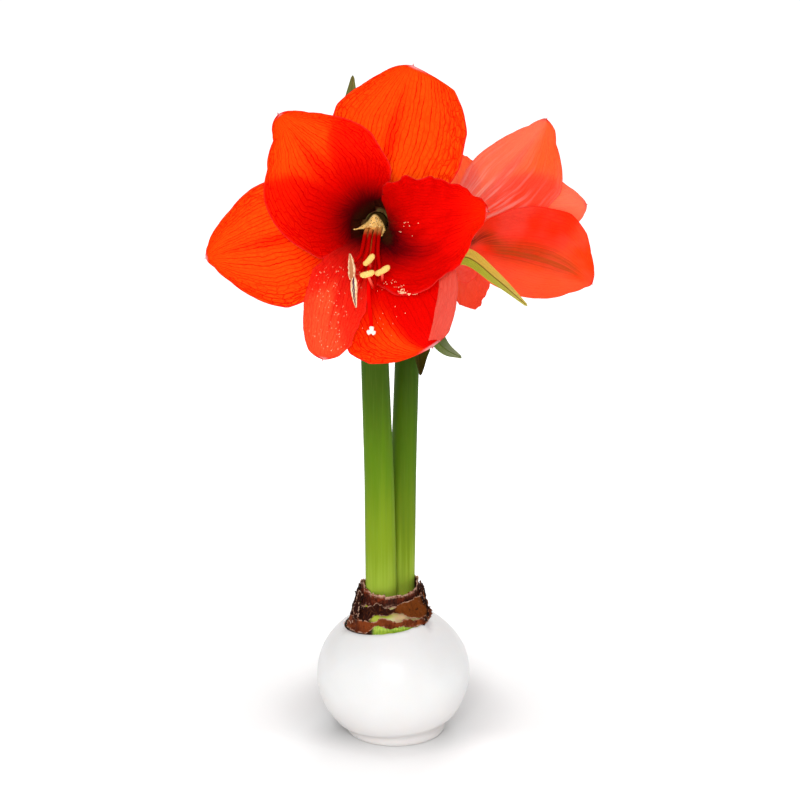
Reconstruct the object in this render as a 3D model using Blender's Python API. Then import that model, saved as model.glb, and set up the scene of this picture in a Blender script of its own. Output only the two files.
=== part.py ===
"""Amaryllis bulb dipped in white wax, in bloom: a wax-coated bulb on its flat wax foot, with a
collar of dry tunics, two flower scapes, their spathe bracts and two red flowers.

Metres, +Z up. The origin is the centre of the foot's flat underside and the front is -Y.
"""

import math
import random

import bmesh
import bpy
import numpy as np
from mathutils import Vector

CLEARANCE = 0.0003

# Wax coat and bulb: heights are measured along the bulb's own axis, which leans to the left
LEAN = math.radians(2.4)
BULB_RADIUS = 0.0475
EQUATOR_HEIGHT = 0.0370
SHOULDER_RISE = 0.0430
BELLY_DROP = 0.0440
WAX_THICKNESS = 0.0020
WAX_EDGE_HEIGHT = 0.0722
WAX_EDGE_TILT = 0.0022
WAX_LIP = 0.0013
FOOT_RADIUS = 0.0310
FOOT_HEIGHT = 0.0075
FOOT_EDGE = 0.0020
CREASE_DEPTH = 0.0014
CREASE_TILT = 0.0018
CAVITY_FLOOR = 0.0110
CAVITY_TOP = 0.0690
CAVITY_STEPS = 8
OUTLINE_STEPS = 12
AROUND_BULB = 36

# The coat's radius where the shoulder runs out into the neck
SHOULDER_START = 0.0600
SHOULDER = (
    (SHOULDER_START, 0.0300),
    (0.0710, 0.0275),
    (0.0727, 0.0269),
    (0.0753, 0.0258),
    (0.0800, 0.0240),
)

# Neck: the flesh, and the collar of tunics round it
FLESH = (
    (0.0251, 0.0695),
    (0.0241, 0.0745),
    (0.0219, 0.0800),
    (0.0196, 0.0828),
    (0.0190, 0.0854),
    (0.0184, 0.0860),
)
SOCKET_FLOOR = 0.0600
COLLAR = ((0.0700, 0.0266), (0.0730, 0.0256), (0.0840, 0.0214), (0.0975, 0.0180), (0.1040, 0.0182))
TUNIC_THICKNESS = 0.0008
AROUND_COLLAR = 36

# The collar stands out by this much where it passes the right scape
FULLER_BY = 0.0022
FULLER_AT = math.radians(42)
FULLER_ABOVE = 0.0830

# Scapes: centre and half-widths from the socket up to the umbel
SCAPE_SIDES = 20
SCAPE_LEFT = (
    ((-0.0083, -0.0052, SOCKET_FLOOR + 0.0004), 0.0094, 0.0079),
    ((-0.0086, -0.0052, 0.0930), 0.0097, 0.0080),
    ((-0.0098, -0.0060, 0.1630), 0.0090, 0.0076),
    ((-0.0120, -0.0080, 0.2340), 0.0083, 0.0073),
    ((-0.0137, -0.0090, 0.2900), 0.0080, 0.0074),
    ((-0.0141, -0.0092, 0.3030), 0.0088, 0.0080),
)
SCAPE_RIGHT = (
    ((0.0029, 0.0068, SOCKET_FLOOR + 0.0004), 0.0085, 0.0071),
    ((0.0032, 0.0069, 0.0900), 0.0087, 0.0072),
    ((0.0047, 0.0090, 0.1590), 0.0080, 0.0070),
    ((0.0069, 0.0110, 0.2300), 0.0074, 0.0067),
    ((0.0079, 0.0116, 0.2620), 0.0074, 0.0068),
    ((0.0081, 0.0117, 0.2730), 0.0082, 0.0075),
)

# Flowers: the perianth tube's mouth and the direction that the flower faces
FRONT_MOUTH = (-0.0098, -0.0700, 0.3266)
FRONT_FACING = (-0.236, -0.951, 0.199)
REAR_MOUTH = (0.0285, 0.0400, 0.3025)
REAR_FACING = (0.637, 0.759, 0.139)
TUBE_LENGTH = 0.0200
TUBE_SIDES = 18
OVARY_LENGTH = 0.0130
MOUTH_RADIUS = 0.0080
MOUTH_ANGLE = math.radians(14)
FLARE_REACH = 0.095
RECURVE = 1.0
LAYER = 0.0011
BLADE_THICKNESS = 0.0007
MUCRO = 0.0015
ROLL_WIDTH = 0.0110

# A tepal's half-widths are given in millimetres at these shares of its length, first on its
# anticlockwise side and then on its clockwise side, as seen from the front of the flower
STATIONS = (0.0, 0.15, 0.35, 0.55, 0.68, 0.80, 0.90, 0.97, 1.0)
BASE_HALF_WIDTH = 3.6


class Tepal:
    """One petal-like segment: its place round the flower's axis, its outline and its waves.

    It leaves the tube at azimuth degrees and opens to opening degrees from the axis. An inner
    tepal lies in front of the outer ones; lift moves it further forward and sway bends its tip
    anticlockwise, both in metres. roll turns its anticlockwise margin forward, in radians.
    """

    def __init__(self, name, azimuth, inner, length, opening, left, right,
                 sway=0.0, lift=0.0, ruffle=0.0010, waves=3.0, roll=0.0):
        self.name = name
        self.azimuth = math.radians(azimuth)
        self.inner = inner
        self.length = length
        self.opening = math.radians(opening)
        self.left = (BASE_HALF_WIDTH,) + left + (0.0,)
        self.right = (BASE_HALF_WIDTH,) + right + (0.0,)
        self.sway = sway
        self.lift = lift
        self.ruffle = ruffle
        self.waves = waves
        self.roll = roll


FRONT_TEPALS = (
    Tepal("top", 62, False, 0.103, 84, (9, 24, 34, 35, 27, 19, 9), (9, 25, 37, 44, 38, 26, 13)),
    Tepal("upper_left", 131, True, 0.086, 80, (9, 33, 50, 40, 22, 9, 4), (9, 25, 41, 36, 23, 11, 4),
          sway=-0.003, ruffle=0.0016),
    Tepal("left", 198, False, 0.101, 84, (9, 21, 34, 38, 27, 16, 6), (9, 24, 34, 29, 21, 14, 6)),
    Tepal("lower_left", 259, True, 0.096, 82, (7, 13, 15, 17, 16, 14, 8), (6, 12, 18, 17, 15, 12, 8),
          sway=0.005),
    Tepal("lower_right", 303, False, 0.102, 84, (9, 22, 34, 43, 38, 26, 12), (9, 20, 33, 36, 35, 28, 16),
          roll=2.0),
    Tepal("right", 352, True, 0.095, 80, (9, 24, 25, 21, 17, 12, 6), (9, 29, 45, 46, 36, 19, 8),
          sway=0.015, lift=0.0012, ruffle=0.0018, waves=4.0),
)
REAR_TEPALS = (
    Tepal("upper", 114, False, 0.098, 62, (9, 24, 34, 34, 24, 12, 5), (9, 24, 31, 23, 15, 8, 4),
          sway=0.004, ruffle=0.0004),
    Tepal("near", 170, True, 0.090, 62, (8, 20, 28, 28, 22, 12, 6), (8, 20, 28, 28, 22, 13, 6)),
    Tepal("lower", 219, False, 0.101, 62, (9, 24, 36, 38, 28, 15, 5), (9, 24, 34, 36, 28, 16, 8),
          sway=-0.006, lift=-0.0014),
    Tepal("bottom", 302, True, 0.098, 78, (8, 17, 25, 28, 25, 15, 7), (8, 18, 22, 20, 15, 9, 4)),
    Tepal("far", 340, False, 0.098, 62, (9, 24, 33, 33, 27, 16, 8), (9, 24, 33, 33, 27, 16, 8)),
    Tepal("far_upper", 44, True, 0.084, 62, (8, 20, 26, 24, 18, 10, 5), (8, 17, 22, 22, 16, 9, 5)),
)

# Stamens in the flower's own frame, in millimetres: x to the right, y up and z out of the mouth,
# as seen from the front. Each has its angle in the tube, its place in the bundle, the bends of
# its filament beyond the bundle, the anther's centre and direction, its length and half-width
FILAMENT_RADIUS = 0.00095
STYLE_RADIUS = 0.0010
STRAND_START = -17.6
RING_RADIUS = 3.1
BUNDLE = ((2.7, -6.8, 17.0), (7.0, -19.8, 38.0))
STAMENS = (
    (167, (-3.9, 1.3), ((0.2, -23.5, 41.5),), (-1.6, -25.6, 43.5), (0.0, 1.0, 0.1), 9, 1.4),
    (116, (-1.3, 1.5), ((4.4, -27.6, 46.5),), (0.3, -26.8, 50.5), (-0.1, 1.0, 0.1), 14, 2.0),
    (64, (1.3, 1.5), ((10.4, -26.4, 47.0),), (10.5, -22.9, 53.0), (0.69, 0.72, 0.1), 8, 1.6),
    (321, (2.5, -1.1), ((14.1, -36.8, 53.0),), (11.4, -30.3, 58.5), (0.96, 0.28, 0.0), 8, 1.6),
    (13, (3.6, 1.0), ((17.5, -33.1, 51.5),), (18.3, -28.1, 54.5), (0.86, 0.51, 0.0), 9, 1.6),
    (219, (-2.5, -1.1), ((5.2, -33.0, 47.0),), (4.5, -40.0, 55.0), (0.12, -0.99, 0.0), 16, 1.8),
)
STYLE = ((0.0, -1.6), ((11.2, -40.0, 53.0), (15.2, -54.0, 61.0), (16.8, -59.6, 65.0)))

# Spathe bracts: centre line from the umbel to the tip, half-width along it and the way that its
# inner face looks at the base
BRACTS = {
    "bract_upright": (
        (
            (-0.0226, -0.0051, 0.2960),
            (-0.0233, -0.0047, 0.3040),
            (-0.0262, 0.0005, 0.3220),
            (-0.0282, 0.0065, 0.3500),
            (-0.0266, 0.0120, 0.3800),
            (-0.0248, 0.0150, 0.4030),
        ),
        (0.0042, 0.0070, 0.0088, 0.0078, 0.0050, 0.0006),
        (0.88, -0.47, 0.0),
    ),
    "bract_trailing": (
        (
            (-0.0084, -0.0165, 0.2940),
            (-0.0074, -0.0186, 0.3010),
            (0.0000, -0.0225, 0.2970),
            (0.0130, -0.0185, 0.2760),
            (0.0270, -0.0120, 0.2540),
            (0.0400, -0.0080, 0.2380),
        ),
        (0.0042, 0.0062, 0.0078, 0.0078, 0.0060, 0.0006),
        (-0.57, 0.82, 0.0),
        40,
    ),
    "bract_hanging": (
        (
            (0.0107, 0.0034, 0.2640),
            (0.0116, 0.0012, 0.2700),
            (0.0150, -0.0040, 0.2680),
            (0.0172, -0.0055, 0.2560),
            (0.0165, -0.0036, 0.2410),
            (0.0150, -0.0020, 0.2265),
        ),
        (0.0036, 0.0052, 0.0060, 0.0058, 0.0040, 0.0006),
        (-0.30, 0.95, 0.0),
    ),
    "bract_arching": (
        (
            (0.0172, 0.0100, 0.2650),
            (0.0184, 0.0096, 0.2740),
            (0.0250, 0.0065, 0.2890),
            (0.0420, 0.0010, 0.2990),
            (0.0600, -0.0050, 0.2870),
            (0.0780, -0.0100, 0.2700),
        ),
        (0.0038, 0.0060, 0.0078, 0.0078, 0.0054, 0.0006),
        (-0.98, 0.20, 0.0),
    ),
}

COLOURS = {
    "wax": ((0.90, 0.89, 0.87, 1), 0.42),
    "flesh": ((0.45, 0.56, 0.10, 1), 0.55),
    "tunic": ((0.17, 0.05, 0.025, 1), 0.75),
    "scape": ((0.22, 0.42, 0.05, 1), 0.45),
    "bract": ((0.20, 0.22, 0.05, 1), 0.60),
    "tube": ((0.45, 0.20, 0.03, 1), 0.50),
    "tepal": ((0.90, 0.035, 0.006, 1), 0.45),
    "corona": ((0.75, 0.62, 0.22, 1), 0.60),
    "stamen": ((0.90, 0.72, 0.25, 1), 0.60),
    "pistil": ((0.80, 0.10, 0.05, 1), 0.50),
}


def clear_scene():
    """Removes what the startup scene holds."""
    for item in list(bpy.data.objects):
        bpy.data.objects.remove(item, do_unlink=True)


def material(kind):
    """The Principled material of one kind of surface, made once."""
    made = bpy.data.materials.get(kind)
    if made:
        return made
    made = bpy.data.materials.new(kind)
    made.use_nodes = True
    shader = made.node_tree.nodes["Principled BSDF"]
    colour, roughness = COLOURS[kind]
    shader.inputs["Base Color"].default_value = colour
    shader.inputs["Roughness"].default_value = roughness
    shader.inputs["Metallic"].default_value = 0.0
    return made


def new_object(name, points, faces, kind):
    """A smooth-shaded object from points in world space, with its faces turned outwards."""
    mesh = bpy.data.meshes.new(name)
    mesh.from_pydata([tuple(p) for p in points], [], faces)
    shape = bmesh.new()
    shape.from_mesh(mesh)
    bmesh.ops.recalc_face_normals(shape, faces=shape.faces)
    shape.to_mesh(mesh)
    shape.free()
    mesh.shade_smooth()
    mesh.set_sharp_from_angle(angle=math.radians(50))
    mesh.materials.append(material(kind))
    made = bpy.data.objects.new(name, mesh)
    bpy.context.scene.collection.objects.link(made)
    return made


def fuse(target, others):
    """Joins the others to the target in one body and removes them."""
    gathered = bpy.data.collections.new(target.name + "_pieces")
    for other in others:
        gathered.objects.link(other)
    union = target.modifiers.new("union", "BOOLEAN")
    union.operation = "UNION"
    union.operand_type = "COLLECTION"
    union.collection = gathered
    bpy.context.view_layer.update()
    graph = bpy.context.evaluated_depsgraph_get()
    mesh = bpy.data.meshes.new_from_object(target.evaluated_get(graph), depsgraph=graph)
    target.modifiers.clear()
    target.data = mesh
    for other in others:
        bpy.data.objects.remove(other, do_unlink=True)
    bpy.data.collections.remove(gathered)


def loft(name, rings, kind):
    """A closed solid through rings of equally many points, each end closed by a fan."""
    count = len(rings[0])
    points = [Vector(p) for ring in rings for p in ring]
    faces = []
    for i in range(len(rings) - 1):
        for j in range(count):
            a = i * count + j
            b = i * count + (j + 1) % count
            faces.append((a, b, b + count))
            faces.append((a, b + count, a + count))
    for first in (0, (len(rings) - 1) * count):
        ring = points[first:first + count]
        hub = len(points)
        points.append(sum(ring, Vector()) / count)
        for j in range(count):
            faces.append((first + j, hub, first + (j + 1) % count))
    return new_object(name, points, faces, kind)


def sheet(name, middle, normals, tip, tip_normal, thickness, kind):
    """A thin closed blade on a grid of rows by columns, which narrows to a tip.

    Both faces are split along the same diagonals, so that a waved blade keeps its thickness.
    """
    rows, columns = middle.shape[:2]
    half = 0.5 * thickness
    front = (middle + normals * half).reshape(-1, 3)
    back = (middle - normals * half).reshape(-1, 3)
    points = np.vstack([front, back, tip + tip_normal * half, tip - tip_normal * half])
    size = rows * columns
    front_tip, back_tip = 2 * size, 2 * size + 1
    faces = []
    for i in range(rows - 1):
        for j in range(columns - 1):
            a = i * columns + j
            b, c, d = a + 1, a + columns + 1, a + columns
            for tri in ((a, b, c), (a, c, d)):
                faces.append(tri)
                faces.append(tuple(size + k for k in reversed(tri)))
    last = (rows - 1) * columns
    for j in range(columns - 1):
        faces.append((last + j, last + j + 1, front_tip))
        faces.append((size + last + j + 1, size + last + j, back_tip))
    left = [i * columns for i in range(rows)] + [None]
    right = [i * columns + columns - 1 for i in range(rows)] + [None]
    base = list(range(columns))
    for border in (left, right, base):
        for a, b in zip(border, border[1:]):
            upper = (a, front_tip if b is None else b)
            lower = (size + a, back_tip if b is None else size + b)
            faces.append((upper[0], upper[1], lower[1]))
            faces.append((upper[0], lower[1], lower[0]))
    return new_object(name, points, faces, kind)


def smooth(x):
    """A smooth step from 0 to 1."""
    x = np.clip(x, 0.0, 1.0)
    return x * x * (3.0 - 2.0 * x)


def spline(controls, count):
    """Evenly numbered points on a Catmull-Rom curve through the control points."""
    controls = np.asarray(controls, float)
    padded = np.vstack([2 * controls[0] - controls[1], controls, 2 * controls[-1] - controls[-2]])
    places = np.linspace(0, len(controls) - 1, count)
    found = []
    for place in places:
        i = min(int(place), len(controls) - 2)
        t = place - i
        a, b, c, d = padded[i:i + 4]
        square = (2 * a - 5 * b + 4 * c - d) * t ** 2
        cube = (3 * b - a - 3 * c + d) * t ** 3
        found.append(0.5 * (2 * b + (c - a) * t + square + cube))
    return np.array(found)


def unit(v):
    """The vector or vectors at length 1."""
    v = np.asarray(v, float)
    return v / np.linalg.norm(v, axis=-1, keepdims=True)


def tube_rings(path, radii, sides, lobes=0.0):
    """Rings round a path, without twist; lobes adds three soft ribs."""
    path = np.asarray(path, float)
    tangents = unit(np.gradient(path, axis=0))
    side = unit(np.cross(tangents[0], (0.31, 0.17, 0.93)))
    rings = []
    for point, tangent, radius in zip(path, tangents, radii):
        side = unit(side - tangent * (side @ tangent))
        other = np.cross(tangent, side)
        ring = []
        for k in range(sides):
            angle = 2 * math.pi * k / sides
            reach = radius * (1 + lobes * math.cos(3 * angle))
            ring.append(point + (side * math.cos(angle) + other * math.sin(angle)) * reach)
        rings.append(ring)
    return rings


def leaning(x, y, z):
    """A point of the bulb after it has leaned over on its foot."""
    return (x * math.cos(LEAN) - z * math.sin(LEAN), y, x * math.sin(LEAN) + z * math.cos(LEAN))


def turned_ring(radius, height, lean=True):
    """A level ring round the bulb's axis."""
    ring = []
    for k in range(AROUND_BULB):
        angle = 2 * math.pi * k / AROUND_BULB
        point = (radius * math.cos(angle), radius * math.sin(angle), height)
        ring.append(leaning(*point) if lean else point)
    return ring


def collar_radius(height):
    """The collar's radius at a height."""
    heights, radii = zip(*COLLAR)
    return float(np.interp(height, heights, radii))


def bulb_radius(height, inset):
    """The bulb's radius at a height, or that of a surface this far inside it."""
    rise = (SHOULDER_RISE if height > EQUATOR_HEIGHT else BELLY_DROP) - inset
    share = min(1.0, abs(height - EQUATOR_HEIGHT) / rise)
    body = (BULB_RADIUS - inset) * math.sqrt(1 - share * share)
    if height < SHOULDER_START:
        return body
    heights, radii = zip(*SHOULDER)
    neck = float(np.interp(height, heights, radii)) - inset
    blend = max(0.0, 1 - abs(body - neck) / 0.002)
    return max(body, neck) + 0.0005 * blend * blend


def even_heights(low, high, steps):
    """Heights from low to high, closer together towards both ends of the bulb."""
    ends = []
    for height in (low, high):
        rise = SHOULDER_RISE if height > EQUATOR_HEIGHT else BELLY_DROP
        ends.append(math.asin((height - EQUATOR_HEIGHT) / rise))
    found = []
    for k in range(steps + 1):
        angle = ends[0] + (ends[1] - ends[0]) * k / steps
        rise = SHOULDER_RISE if angle > 0 else BELLY_DROP
        found.append(EQUATOR_HEIGHT + rise * math.sin(angle))
    return found


def tilted(height, angle):
    """A height on the coat: its crease and its upper edge both dip towards the left."""
    edge = WAX_EDGE_TILT * float(smooth((height - 0.055) / 0.017) * smooth((0.094 - height) / 0.012))
    crease = CREASE_TILT * float(smooth((0.024 - height) / 0.014) * smooth((height - 0.0060) / 0.0020))
    return height + (edge + crease) * math.cos(angle)


def body_ring(height, inset):
    """A ring on the bulb's outline, or inside it, that follows the tilt of the wax edge."""
    ring = []
    for k in range(AROUND_BULB):
        angle = 2 * math.pi * k / AROUND_BULB
        level = tilted(height, angle)
        radius = bulb_radius(level, inset)
        ring.append(leaning(radius * math.cos(angle), radius * math.sin(angle), level))
    return ring


def make_wax_coat():
    """The wax coat: a flat foot, the bulb's outline above it and a thin lip round the neck."""
    crease = FOOT_HEIGHT + CREASE_DEPTH
    foot = (
        (FOOT_RADIUS - FOOT_EDGE, 0.0),
        (FOOT_RADIUS - 0.3 * FOOT_EDGE, 0.3 * FOOT_EDGE),
        (FOOT_RADIUS, 1.1 * FOOT_EDGE),
        (FOOT_RADIUS - 0.2 * FOOT_EDGE, FOOT_HEIGHT - 0.6 * FOOT_EDGE),
    )
    half_lip = 0.5 * WAX_LIP
    outside = even_heights(crease + CREASE_DEPTH, WAX_EDGE_HEIGHT - half_lip, OUTLINE_STEPS)
    inside = even_heights(CAVITY_FLOOR, CAVITY_TOP, CAVITY_STEPS)
    rings = [turned_ring(r, z, lean=False) for r, z in foot]
    rings.append(body_ring(crease, CREASE_DEPTH))
    rings += [body_ring(z, 0.0) for z in outside]
    rings.append(body_ring(WAX_EDGE_HEIGHT, half_lip))
    rings.append(body_ring(WAX_EDGE_HEIGHT - CLEARANCE, WAX_LIP))
    rings += [body_ring(z, WAX_THICKNESS) for z in inside[::-1]]
    return loft("wax_coat", rings, "wax")


def make_bulb():
    """The bulb in its coat, with a fleshy neck and a socket for each scape."""
    inset = WAX_THICKNESS + 1.4 * CLEARANCE
    heights = even_heights(CAVITY_FLOOR, CAVITY_TOP, CAVITY_STEPS)
    rings = [body_ring(CAVITY_FLOOR + CLEARANCE, inset + CLEARANCE)]
    rings += [body_ring(z, inset) for z in heights[1:-1]]
    rings += [turned_ring(r, z) for r, z in FLESH]
    bulb = loft("bulb", rings, "flesh")
    for side, stations in (("left", SCAPE_LEFT), ("right", SCAPE_RIGHT)):
        (low, low_x, low_y), (high, high_x, high_y) = stations[:2]
        socket = (
            ellipse((low[0], low[1], SOCKET_FLOOR), low_x + CLEARANCE, low_y + CLEARANCE),
            ellipse(high, high_x + CLEARANCE, high_y + CLEARANCE),
        )
        cutter = loft("socket_" + side, socket, "flesh")
        cutter.hide_render = True
        cutter.display_type = "WIRE"
        cut = bulb.modifiers.new("socket_" + side, "BOOLEAN")
        cut.operation = "DIFFERENCE"
        cut.object = cutter
    return bulb


def ellipse(centre, half_x, half_y):
    """A level ring of points round a centre."""
    x, y, z = centre
    ring = []
    for k in range(SCAPE_SIDES):
        angle = 2 * math.pi * k / SCAPE_SIDES
        ring.append((x + half_x * math.cos(angle), y + half_y * math.sin(angle), z))
    return ring


def make_scape(name, stations, rows=12):
    """A slightly flattened flower stalk through its stations."""
    values = np.array([(*centre, half_x, half_y) for centre, half_x, half_y in stations])
    heights = values[:, 2]
    rings = []
    for height in np.linspace(heights[0], heights[-1], rows + 1):
        x, y, z, half_x, half_y = (np.interp(height, heights, column) for column in values.T)
        rings.append(ellipse((x, y, z), half_x, half_y))
    return loft(name, rings, "scape")


def near(angle, middle, width):
    """1 at an angle round the collar, falling to 0 away from it."""
    return math.exp(-((math.remainder(angle - middle, 2 * math.pi)) / width) ** 2)


def wander(seed, parts, size):
    """A smooth periodic wander round the collar, made of a few seeded waves."""
    rng = random.Random(seed)
    waves = []
    for k in range(1, parts + 1):
        waves.append((k, rng.uniform(0, 2 * math.pi), rng.uniform(0.4, 1.0) / math.sqrt(k)))
    whole = sum(share for _, _, share in waves)

    def value(angle):
        return size * sum(share * math.sin(k * angle + phase) for k, phase, share in waves) / whole
    return value


def fuller(angle, height):
    """How far the collar bulges where it passes the right scape."""
    return FULLER_BY * near(angle, FULLER_AT, 0.75) * float(smooth((height - FULLER_ABOVE) / 0.008))


def make_tunic(name, bottom, top, outward, ragged_low, ragged_high, seed):
    """A dry papery ring of the collar with ragged edges."""
    low = wander(seed, 9, ragged_low)
    high = wander(seed + 1, 11, ragged_high)
    push = wander(seed + 2, 5, 0.0003)
    rows = 3
    walls = []
    for face in (0.5, -0.5):
        rings = []
        for i in range(rows + 1):
            share = i / rows
            ring = []
            for k in range(AROUND_COLLAR):
                angle = 2 * math.pi * k / AROUND_COLLAR
                start, end = bottom(angle) + low(angle), top(angle) + high(angle)
                height = start + (end - start) * share
                level = tilted(height, angle)
                radius = collar_radius(level) + outward + push(angle) * share + fuller(angle, height)
                radius += face * TUNIC_THICKNESS
                ring.append(leaning(radius * math.cos(angle), radius * math.sin(angle), level))
            rings.append(ring)
        walls.append(rings)
    outer, inner = walls
    loop = outer + inner[::-1]
    count = AROUND_COLLAR
    points = [p for ring in loop for p in ring]
    faces = []
    for i in range(len(loop)):
        following = (i + 1) % len(loop)
        for j in range(count):
            a = i * count + j
            b = i * count + (j + 1) % count
            c = following * count + (j + 1) % count
            d = following * count + j
            faces += [(a, b, c), (a, c, d)] if i <= rows else [(a, b, d), (b, c, d)]
    return new_object(name, points, faces, "tunic")


def make_flap(name, middle_angle, spread_angle, bottom, top, outward, seed):
    """A torn strip of tunic that stands a little off the collar."""
    rng = random.Random(seed)
    rows, columns = 6, 7
    grid = np.zeros((rows, columns, 3))
    torn = [rng.uniform(-0.0012, 0.0012) for _ in range(columns)]
    for i in range(rows):
        share = i / rows
        for j in range(columns):
            across = 2 * j / (columns - 1) - 1
            height = bottom + (top - bottom + torn[j]) * share
            angle = middle_angle + spread_angle * across * (1 - 0.25 * share)
            radius = collar_radius(height) + outward + 0.0003 * abs(across) ** 3 + 0.0006 * share ** 2
            grid[i, j] = leaning(radius * math.cos(angle), radius * math.sin(angle), height)
    outwards = np.array((math.cos(middle_angle), math.sin(middle_angle), 0.0))
    tip = np.array(leaning(*(outwards[:2] * (collar_radius(top) + outward + 0.0008)), top + 0.001))
    normals = grid_normals(grid, outwards)
    return sheet(name, grid, normals, tip, outwards, TUNIC_THICKNESS, "tunic")


def grid_normals(grid, towards):
    """Unit normals of a grid of points, on the side that looks towards a direction."""
    along = np.gradient(grid, axis=0)
    across = np.gradient(grid, axis=1)
    normals = unit(np.cross(along, across))
    if (normals * np.asarray(towards, float)).sum(axis=2).mean() < 0:
        normals = -normals
    return normals


def make_bract(name, line, half_widths, face, twist=0.0):
    """A withered spathe bract: a folded blade along its centre line, twisted towards its tip."""
    rows = 11
    path = spline(line, rows + 1)
    stations = np.linspace(0, rows, len(half_widths))
    widths = np.interp(np.arange(rows + 1), stations, half_widths)
    tangents = unit(np.gradient(path, axis=0))
    across = (-1.0, -0.7, -0.35, 0.0, 0.35, 0.7, 1.0)
    grid = np.zeros((rows, len(across), 3))
    towards = np.zeros((rows, len(across), 3))
    for i in range(rows):
        face = unit(np.asarray(face) - tangents[i] * (np.asarray(face) @ tangents[i]))
        side = np.cross(tangents[i], face)
        turn = math.radians(twist) * float(smooth(i / rows / 0.7))
        upwards = face * math.cos(turn) + side * math.sin(turn)
        sideways = side * math.cos(turn) - face * math.sin(turn)
        for j, t in enumerate(across):
            fold = 0.36 * widths[i] * abs(t) ** 1.7
            grid[i, j] = path[i] + sideways * (widths[i] * t) + upwards * fold
            towards[i, j] = upwards
    normals = grid_normals(grid, towards)
    return sheet(name, grid, normals, path[-1], upwards, BLADE_THICKNESS, "bract")


class Flower:
    """A flower's frame and the funnel that its tepals lie on."""

    def __init__(self, name, mouth, facing, tepals):
        self.name = name
        self.mouth = np.array(mouth)
        self.out = unit(facing)
        self.up = unit(np.array((0.0, 0.0, 1.0)) - self.out[2] * self.out)
        self.right = np.cross(self.up, self.out)
        self.tepals = tepals

    def turned(self, local):
        """Directions of the flower's frame in world space."""
        return np.asarray(local, float) @ np.stack([self.right, self.up, self.out])

    def world(self, local):
        """Points of the flower's frame in world space."""
        return self.mouth + self.turned(local)

    def round_the_flower(self, azimuth, values):
        """Blends one value per tepal smoothly round the axis."""
        order = sorted(range(len(self.tepals)), key=lambda k: self.tepals[k].azimuth)
        angles = np.array([self.tepals[k].azimuth for k in order])
        found = np.array([values[k] for k in order])
        angles = np.concatenate([angles - 2 * math.pi, angles, angles + 2 * math.pi])
        found = np.concatenate([found] * 3)
        azimuth = np.mod(azimuth, 2 * math.pi)
        i = np.searchsorted(angles, azimuth) - 1
        t = smooth((azimuth - angles[i]) / (angles[i + 1] - angles[i]))
        return found[i] * (1 - t) + found[i + 1] * t

    def meridians(self, azimuth):
        """Distance along the funnel, and its height, radius and slope there, at each azimuth."""
        opening = self.round_the_flower(azimuth, [t.opening for t in self.tepals])[:, None]
        along = np.linspace(0, 0.18, 100)
        share = along / FLARE_REACH
        slope = MOUTH_ANGLE + (opening - MOUTH_ANGLE) * share + RECURVE * np.maximum(0, share - 0.7) ** 2
        slope = np.minimum(slope, math.radians(150))
        middle = 0.5 * (slope[:, 1:] + slope[:, :-1])
        start = np.zeros((len(slope), 1))
        rise = np.hstack([start, np.cumsum(np.cos(middle) * along[1], axis=1)])
        reach = np.hstack([start, np.cumsum(np.sin(middle) * along[1], axis=1)])
        return along, rise, MOUTH_RADIUS + reach, slope

    def blade(self, tepal, along, across, height):
        """Local points and normals of a tepal at distances along and across it, raised by height."""
        line, _, radii, _ = self.meridians(np.array([tepal.azimuth]))
        radius = np.interp(along, line, radii[0])
        flat = smooth((along - 0.045) / 0.040)
        turn = (1 - flat) * across / radius + flat * np.arctan2(across, radius)
        turn = turn + tepal.sway * (along / tepal.length) ** 2 / radius
        wanted = (1 - flat) * radius + flat * np.hypot(radius, across)
        azimuth = tepal.azimuth + turn
        _, rises, radii, slopes = self.meridians(azimuth)
        upper = np.clip((radii < wanted[:, None]).sum(axis=1), 1, radii.shape[1] - 1)
        row = np.arange(len(wanted))
        below, above = radii[row, upper - 1], radii[row, upper]
        t = np.clip((wanted - below) / (above - below), 0, 1)
        rise = rises[row, upper - 1] * (1 - t) + rises[row, upper] * t
        slope = slopes[row, upper - 1] * (1 - t) + slopes[row, upper] * t
        cos_a, sin_a = np.cos(azimuth), np.sin(azimuth)
        points = np.stack([wanted * cos_a, wanted * sin_a, rise], axis=1)
        normals = np.stack([-np.cos(slope) * cos_a, -np.cos(slope) * sin_a, np.sin(slope)], axis=1)
        return points + normals * height[:, None], normals


def half_width(tepal, share, left):
    """A tepal's half-width in metres; squares are blended, so that the end is round."""
    values = np.array(tepal.left if left else tepal.right, float) / 1000
    return np.sqrt(np.maximum(np.interp(share, STATIONS, values ** 2), 0.0))


def rolled(across, height, widths, share, roll):
    """Turns the anticlockwise margin of the outer half forward, round an arc."""
    strength = roll * smooth((share - 0.70) / 0.12) * smooth((1.03 - share) / 0.14)
    band = ROLL_WIDTH * smooth((1.02 - share) / 0.2)
    past = np.maximum(0, across - (widths - band))
    turning = (strength > 0.05) & (past > 0)
    radius = band / np.maximum(strength, 0.05)
    angle = past / np.maximum(radius, 1e-6)
    across = np.where(turning, widths - band + radius * np.sin(angle), across)
    height = np.where(turning, height + radius * (1 - np.cos(angle)), height)
    return across, height


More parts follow.
